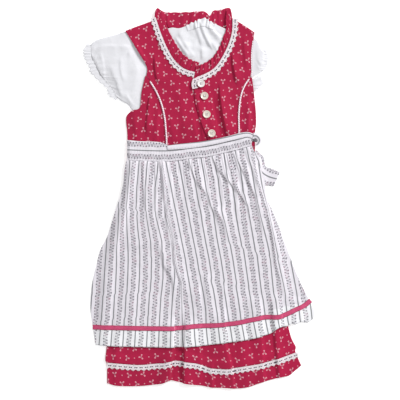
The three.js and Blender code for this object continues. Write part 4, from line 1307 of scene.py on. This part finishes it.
def button_thread(name, x, y, z):
    """Two crossed strands through the holes."""
    ring = 2 * np.pi * np.arange(THREAD_SIDES)[None] / THREAD_SIDES
    share = shares(10)[:, None]
    for number, turn in enumerate((math.pi / 4, 3 * math.pi / 4)):
        c, s = math.cos(turn), math.sin(turn)
        run = HOLE_SPREAD * (2 * share - 1)
        rise = 0.45 * np.sin(np.pi * share) - 0.5 * (np.abs(share - 0.5) > 0.49)
        aside = THREAD_RADIUS * np.cos(ring)
        px, py = x + run * c - s * aside, y + run * s + c * aside
        pz = z + rise + 0.1 * number + THREAD_RADIUS * np.sin(ring)
        strand = f"{name}_{number + 1}"
        mesh = grid_mesh(strand, px, py, pz, (0 * px, 0 * px), closed=True)
        close_ends(mesh)
        finish_piece(link(strand, mesh), "button_thread")


class DIRNDL_OT_buttons(bpy.types.Operator):
    """Turn the four buttons and sew them on"""
    bl_idname = "dirndl.buttons"
    bl_label = "Buttons"

    def execute(self, context):
        radius = context.scene.dirndl_sizes.button_radius
        for index, (x, y) in enumerate(BUTTONS):
            name = f"button_{index + 1}"
            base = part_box(name)[0][2] / MM
            thing = link(f"{name}_turned", button_mesh(name, radius))
            drill_holes(thing)
            spot = place_points(*(np.array([part]) for part in (x, y, base)))[0]
            thing.data.transform(Matrix.Translation(spot.tolist()))
            finish_piece(thing, "button" if index else "button_top", [name])
            button_thread(f"{name}_thread", x, y, base + BUTTON_DISH)
        return {"FINISHED"}


SKIRT_WIDTH, SKIRT_LENGTH = 362, 418


class DIRNDL_OT_skirt(bpy.types.Operator):
    """Sew the skirt's back and front, the tuck above the hem and the hem lace"""
    bl_idname = "dirndl.skirt"
    bl_label = "Skirt"

    def execute(self, context):
        left, right, hem = curve(SKIRT_LEFT), curve(SKIRT_RIGHT), curve(SKIRT_HEM)
        waist = np.array([(-130, 86), (99, 86)], float)
        sew_back("skirt_back", hem, waist, left, right, 0, DRESS_WALL, "dress")
        rows = np.r_[0.30 * shares(150), 0.30 + 0.70 * shares(30)[1:]]
        x, y, u, v = fill(hem, waist, left, right, shares(190), rows)
        cloth = ((u - 0.5) * SKIRT_WIDTH + hidden_cloth(SKIRT_PLEATS, x, y) + 9, v * SKIRT_LENGTH + 11)
        sew_sheet("skirt_front_cloth", x, y, skirt_front_top(x, y), cloth, "dress",
                  ["skirt_front", "skirt_tuck"])
        lace_run("hem_lace_trim", HEM_LACE, skirt_top, 0.6, ["hem_lace"])
        return {"FINISHED"}


# ---- Blouse ----
SLEEVE_UNDER, SLEEVE_UPPER, SLEEVE_PUFF, SLEEVE_CREASES = 0.1, 2.1, 3.4, 0.75
CUFF_GATHERS, CUFF_FULLNESS = 0.9, 1.25


def sew_sleeve(node, edges, columns, rows, seed):
    """A puff sleeve pressed flat, open at the armhole and the cuff."""
    bottom, top, armhole, cuff = (curve(edges[name]) for name in ("bottom", "top", "armhole", "cuff"))
    x, y, u, v = fill(bottom, top, armhole, cuff, shares(columns), shares(rows))
    outside = ease(outside_armhole(x, y), 4, 18)
    gather, _ = uneven_gathers(v + 0.05 * (1 - u), 12, seed)
    deep, _ = uneven_gathers(v - 0.1 * (1 - u), 5, seed + 1)
    near_cuff = ease(u, 0.8, 0.98) + 0.8 * deep * ease(u, 0.55, 0.9)
    dome = np.sqrt(np.clip(np.sin(np.pi * v), 0, 1)) * (1 - 0.9 * ease(u, 0.72, 1))
    creases = folds(SLEEVE_FOLDS, x, y)[0] + 0.5 * crumple(x, y, 20, seed)
    puff = outside * (SLEEVE_PUFF * dome + SLEEVE_CREASES * creases * ease(np.sin(np.pi * v), 0.02, 0.35))
    gather = CUFF_GATHERS * gather * near_cuff * outside * (1 - 0.5 * ease(u, 0.93, 1))
    low = sleeve_lower(x, y)
    upper, under = low + SLEEVE_UPPER + puff + gather, low + SLEEVE_UNDER
    length, width = reach(top)[-1], reach(cuff)[-1] * CUFF_FULLNESS
    sew_double(node, x, y, upper, under, (u * length, u * length), (v * width, (2 - v) * width))


def sew_frill(node, root, edge, gathers, height, level, two_sided=True):
    x, y, v, wave, _, _ = gathered_strip(root, edge, gathers, 10, gathers + 40, 1.2, 1.0, 0.3, 0.05)
    base = level(x, y)
    upper = base + (2.2 if two_sided else 0.9) + height * wave * (0.3 + 0.7 * v)
    along_it, across = true_cloth(x, y, upper)
    if two_sided:
        under = base + 0.1 + 0.4 * wave * v
        both_along = (along_it.T, 2 * along_it.max() - along_it.T)
        sew_double(node, x.T, y.T, upper.T, under.T, both_along, (across.T, across.T))
    else:
        sew_sheet(f"{node}_cloth", x, y, upper, (along_it, across), "blouse", [node],
                  thickness=THIN_WALL)


class DIRNDL_OT_blouse(bpy.types.Operator):
    """Sew the blouse: body, neck frill, puff sleeves and their cuff frills"""
    bl_idname = "dirndl.blouse"
    bl_label = "Blouse"

    def execute(self, context):
        hem, left, right = curve(BLOUSE_HEM), curve(BLOUSE_LEFT), curve(BLOUSE_RIGHT)
        back_top = np.array([(-104.4, 294), (81, 286)], float)
        sew_back("blouse_back", hem, back_top, left, right, BLOUSE_BACK, BLOUSE_WALL, "blouse")
        x, y, _, _ = fill(hem, curve(BLOUSE_TOP), left, right, shares(110), shares(110))
        sew_sheet("blouse_front_cloth", x, y, blouse_front_top(x, y), turned(x, y, 0), "blouse",
                  ["blouse_front"], thickness=THIN_WALL)
        sew_frill("blouse_neck_frill", NECK_FRILL_ROOT, NECK_FRILL_EDGE, 7, 2.4,
                  lambda x, y: blouse_front_top(x, y) - 0.6, two_sided=False)
        sew_sleeve("sleeve_left", SLEEVE_LEFT, 90, 90, 31)
        sew_sleeve("sleeve_right", SLEEVE_RIGHT, 50, 60, 33)
        sew_frill("cuff_frill_left", SLEEVE_LEFT["cuff"], SLEEVE_LEFT["frill"], 15, 1.5, lambda x, y: 0 * x)
        sew_frill("cuff_frill_right", SLEEVE_RIGHT["root"], SLEEVE_RIGHT["frill"], 4, 1.4, sleeve_lower,
                  two_sided=False)
        elastic = curve([(x + 2.0, y + 0.5) for x, y in SLEEVE_LEFT["cuff"][:-1]])
        stitch_row("cuff_elastic_stitches", elastic, lambda x, y: 0 * x + 4.0, "white_thread", lift=0.0)
        return {"FINISHED"}


# ---- Apron ----
APRON_LENGTH, BAND_LENGTH, BAND_FOLD_LENGTH = 346, 236, 165
RIBBON_HALF, RIBBON_STITCHES = 4.2, 3.5


def small_gathers(u, down):
    """Fine gathers just below the waistband that run together into larger ones."""
    count = bpy.context.scene.dirndl_sizes.apron_gathers
    fine = 0.5 + 0.5 * np.cos(2 * np.pi * (count * u + 0.9 * np.sin(9 * u + 1) + 0.35 * np.sin(31 * u)))
    broad = 0.5 + 0.5 * np.cos(2 * np.pi * (count / 2.4 * u + 0.6 * np.sin(7 * u) + 0.3 * np.sin(19 * u)))
    height = 1.1 * fine * window(down, -4, 8, 20, 62) + 1.8 * broad * window(down, 4, 30, 60, 150)
    return height * (0.7 + 0.3 * np.sin(23 * u + 2))


def sew_apron_skirt(stripe_pitch):
    """The gathered skirt; its stripes keep to the lines of the first, sixth and tenth stripe."""
    edges = (curve(rows) for rows in (APRON_HEM, APRON_TOP, APRON_LEFT, APRON_RIGHT))
    x, y, u, v = fill(*edges, shares(330), shares(140))
    down = line_at(BAND_BOTTOM, x) - y
    bunch = 1.3 * window(down, -3, 2, 5, 24)
    z = apron_top(x, y) + (small_gathers(u, down) + bunch) * apron_inset(x, y)
    under_band = ease(-down, -1.5, 3)
    z = z * (1 - under_band) + np.minimum(z, BAND_LEVEL - BAND_WALL - 0.2) * under_band
    first, sixth, tenth = (edge_at(rows, y) for rows in (PRINT_LEFT, PRINT_SIXTH, PRINT_TENTH))
    beyond = ease(x - edge_at(PRINT_FOLD, y), -5, 5)
    stripe = 5 * (x - first) / (sixth - first) * (1 - beyond)
    stripe += (9 + (x - tenth) / (PRINT_STEP + 0.9 * ease(-y, 215, 260))) * beyond
    taken = hidden_cloth(APRON_PLEATS, x, y) + pushed_cloth(APRON_CREASES, x, y)
    sew_sheet("apron_skirt_cloth", x, y, z, (stripe * stripe_pitch + taken, v * APRON_LENGTH), "apron",
              ["apron_skirt"])


def sew_ribbon():
    middle = along(curve(RIBBON), shares(200))
    heading = unit(np.gradient(middle, axis=0))
    across = np.linspace(-RIBBON_HALF, RIBBON_HALF, 9)[:, None]
    x = middle[None, :, 0] - heading[None, :, 1] * across
    y = middle[None, :, 1] + heading[None, :, 0] * across
    far = reach(middle)[None, :] + 0 * across
    sew_sheet("apron_ribbon_trim", x, y, apron_top(x, y) + 0.75, (far, across + 0 * far), "ribbon",
              ["apron_ribbon"], thickness=0.45)
    for label, side in (("lower", -RIBBON_STITCHES), ("upper", RIBBON_STITCHES)):
        row = np.stack([middle[:, 0] - heading[:, 1] * side, middle[:, 1] + heading[:, 0] * side], -1)
        stitch_row(f"ribbon_{label}_stitches", row, apron_top, "red_thread", pitch=3.0, lift=0.8)


def sew_waistband():
    """The band, and its upper edge turned over, which shows the faint reverse of the print."""
    x, y, u, v = between(curve(BAND_BOTTOM), curve(BAND_TOP), 200, 28)
    crown = 0.9 * np.sqrt(np.clip(np.sin(np.pi * (0.04 + 0.92 * v)), 0, 1))
    gathers = 0.3 * np.cos(2 * np.pi * 46 * u) * (1 - v)
    drop = 3.0 * (1 - ease(x, -131, -125)) + 0.4 * (1 - ease(v, 0, 0.2))
    z = BAND_LEVEL - 0.8 + crown + 0.35 * crumple(x, y, 18, 8) + gathers - drop
    up = np.hypot(x - x[0], y - y[0])
    sew_sheet("apron_waistband_cloth", x, y, z, (up + 2.8, u * BAND_LENGTH + 200), "apron",
              ["apron_waistband"], thickness=BAND_CLOTH_WALL)
    x, y, u, v = between(curve(BAND_FOLD_LOWER), curve(BAND_FOLD_UPPER), 170, 12)
    z = BAND_LEVEL + 0.9 + 0.7 * np.sin(np.pi * (0.15 + 0.85 * v)) + 0.2 * crumple(x, y, 15, 18)
    cloth = (64.8 + 9.6 * (v - 1.05 + 0.3 * u), u * BAND_FOLD_LENGTH + 300)
    sew_sheet("apron_waistband_fold_cloth", x, y, z, cloth, "apron_reverse",
              thickness=THIN_WALL)


def sew_ties():
    """The tie curls round at the band's right end; its loose end and the hidden left tie lie below."""
    x, y, u, v = between(curve(CURL_INNER), curve(CURL_OUTER), 40, 14)
    start, end = BAND_LEVEL + 1.2, SKIRT_FRONT + DRESS_WALL + 2.6
    z = start + (end - start) * ease(u, 0.1, 1) + 1.2 * np.sin(np.pi * (0.1 + 0.8 * v))
    far, across = true_cloth(x, y, z)
    sew_sheet("apron_tie_curl_cloth", x, y, z, (across + 60.8, far + 465), "apron", ["apron_tie_curl"],
              thickness=GATHERED_WALL)
    # Painted shade: a patch of the tie's reverse inside the curl, its dark stripe laid across the whole
    # hole
    x, y, u, v = between(curve(CURL_SHADE_LOWER), curve(CURL_SHADE_UPPER), 20, 8)
    z = SKIRT_FRONT + DRESS_WALL + 0.9 - 1.2 * u
    sew_sheet("apron_tie_curl_shade_cloth", x, y, z, (64.8 + 1.6 * (v - 0.5), u * 12 + 480), "apron_reverse",
              thickness=THIN_WALL)
    ties = [("right", TIE_RIGHT_INNER, TIE_RIGHT_OUTER), ("left", TIE_LEFT_INNER, TIE_LEFT_OUTER)]
    for label, inner, outer in ties:
        x, y, u, v = between(curve(inner), curve(outer), 70, 24)
        lift = 0.5 * np.sin(np.pi * v) + 0.3 * crumple(x, y, 16, 9) - folds(TIE_FOLDS, x, y)[0]
        z = np.maximum(tie_top(x, y) + (lift if label == "right" else 0), 0.8)
        far, across = true_cloth(x, y, z)
        sew_sheet(f"apron_tie_{label}_cloth", x, y, z, (across + 8.6, far + 500), "apron",
                  [f"apron_tie_{label}"], thickness=GATHERED_WALL)


class DIRNDL_OT_apron(bpy.types.Operator):
    """Sew the apron: gathered skirt, ribbon, waistband and ties"""
    bl_idname = "dirndl.apron"
    bl_label = "Apron"

    def execute(self, context):
        sew_apron_skirt(context.scene.dirndl_sizes.stripe_pitch)
        sew_ribbon()
        sew_waistband()
        sew_ties()
        return {"FINISHED"}


# ---- Stage ----
LENS, SENSOR = 85.0, 36.0
FLOOR_REACH, FLOOR_DEPTH, FLOOR_GLOW = 25.0, 0.0004, 0.42
AIR_LIGHT = 0.50
LIGHTS = [("Key light", 300.0, 1.6, (3.6, 3.0, 3.0)), ("Fill light", 45.0, 4.0, (-3.5, -1.0, 4.5))]


class DIRNDL_OT_stage(bpy.types.Operator):
    """Lay out the pale floor, the lights and the camera straight above"""
    bl_idname = "dirndl.stage"
    bl_label = "Stage"

    def execute(self, context):
        scene = context.scene
        camera = bpy.data.cameras.new("Camera")
        camera.lens, camera.sensor_width = LENS, SENSOR
        scene.camera = link("Camera", camera)
        scene.camera.location = (SHIFT[0] * MM, (SHIFT[1] - 3.6) * MM, scene.dirndl_sizes.camera_height)
        paper = Recipe("Floor paper", roughness=0.95)
        paper.set_shader(Specular_IOR_Level=0.0, Emission_Color=(1, 1, 1, 1), Emission_Strength=FLOOR_GLOW)
        paper.paint(paper.mix(paper.noise(40.0), (0.93, 0.93, 0.93), (0.95, 0.95, 0.95)))
        mesh = bpy.data.meshes.new("Floor")
        corners = [(x * FLOOR_REACH, y * FLOOR_REACH, 0) for x, y in ((-1, -1), (1, -1), (1, 1), (-1, 1))]
        mesh.from_pydata(corners, [], [(0, 1, 2, 3)])
        mesh.materials.append(paper.material)
        floor = link("Floor", mesh)
        floor.location.z = -FLOOR_DEPTH
        for name, energy, size, spot in LIGHTS:
            lamp = bpy.data.lights.new(name, "AREA")
            lamp.energy, lamp.size = energy, size
            thing = link(name, lamp)
            thing.location = spot
            tip = math.acos(spot[2] / np.linalg.norm(spot))
            thing.rotation_euler = (tip, 0, math.atan2(spot[0], -spot[1]))
        scene.world = bpy.data.worlds.new("Studio")
        scene.world.use_nodes = True
        air = scene.world.node_tree.nodes["Background"].inputs
        air["Color"].default_value, air["Strength"].default_value = (1, 1, 1, 1), AIR_LIGHT
        scene.view_settings.view_transform = "Standard"
        return {"FINISHED"}


class DIRNDL_PT_panel(bpy.types.Panel):
    """Lists the pieces of the set"""
    bl_idname = "DIRNDL_PT_panel"
    bl_label = "Dirndl set"
    bl_space_type = "VIEW_3D"
    bl_region_type = "UI"
    bl_category = "Dirndl"

    def draw(self, context):
        for group in (context.scene.dirndl_sizes, context.scene.dirndl_colours):
            for name in group.__annotations__:
                self.layout.prop(group, name)
        for operator in OPERATORS:
            self.layout.operator(operator.bl_idname)


OPERATORS = (
    DIRNDL_OT_stage, DIRNDL_OT_blouse, DIRNDL_OT_bodice, DIRNDL_OT_neck, DIRNDL_OT_piping,
    DIRNDL_OT_buttons, DIRNDL_OT_skirt, DIRNDL_OT_apron,
)
CLASSES = (DirndlSizes, DirndlColours, *OPERATORS, DIRNDL_PT_panel)


def register():
    for item in CLASSES:
        bpy.utils.register_class(item)
    bpy.types.Scene.dirndl_sizes = PointerProperty(type=DirndlSizes)
    bpy.types.Scene.dirndl_colours = PointerProperty(type=DirndlColours)


def unregister():
    del bpy.types.Scene.dirndl_colours
    del bpy.types.Scene.dirndl_sizes
    for item in reversed(CLASSES):
        bpy.utils.unregister_class(item)


def main():
    register()
    cut_cloths()
    bpy.ops.dirndl.stage()
    bpy.ops.dirndl.blouse()
    bpy.ops.dirndl.bodice()
    bpy.ops.dirndl.neck()
    bpy.ops.dirndl.piping()
    bpy.ops.dirndl.buttons()
    bpy.ops.dirndl.skirt()
    bpy.ops.dirndl.apron()


if __name__ == "__main__":
    main()
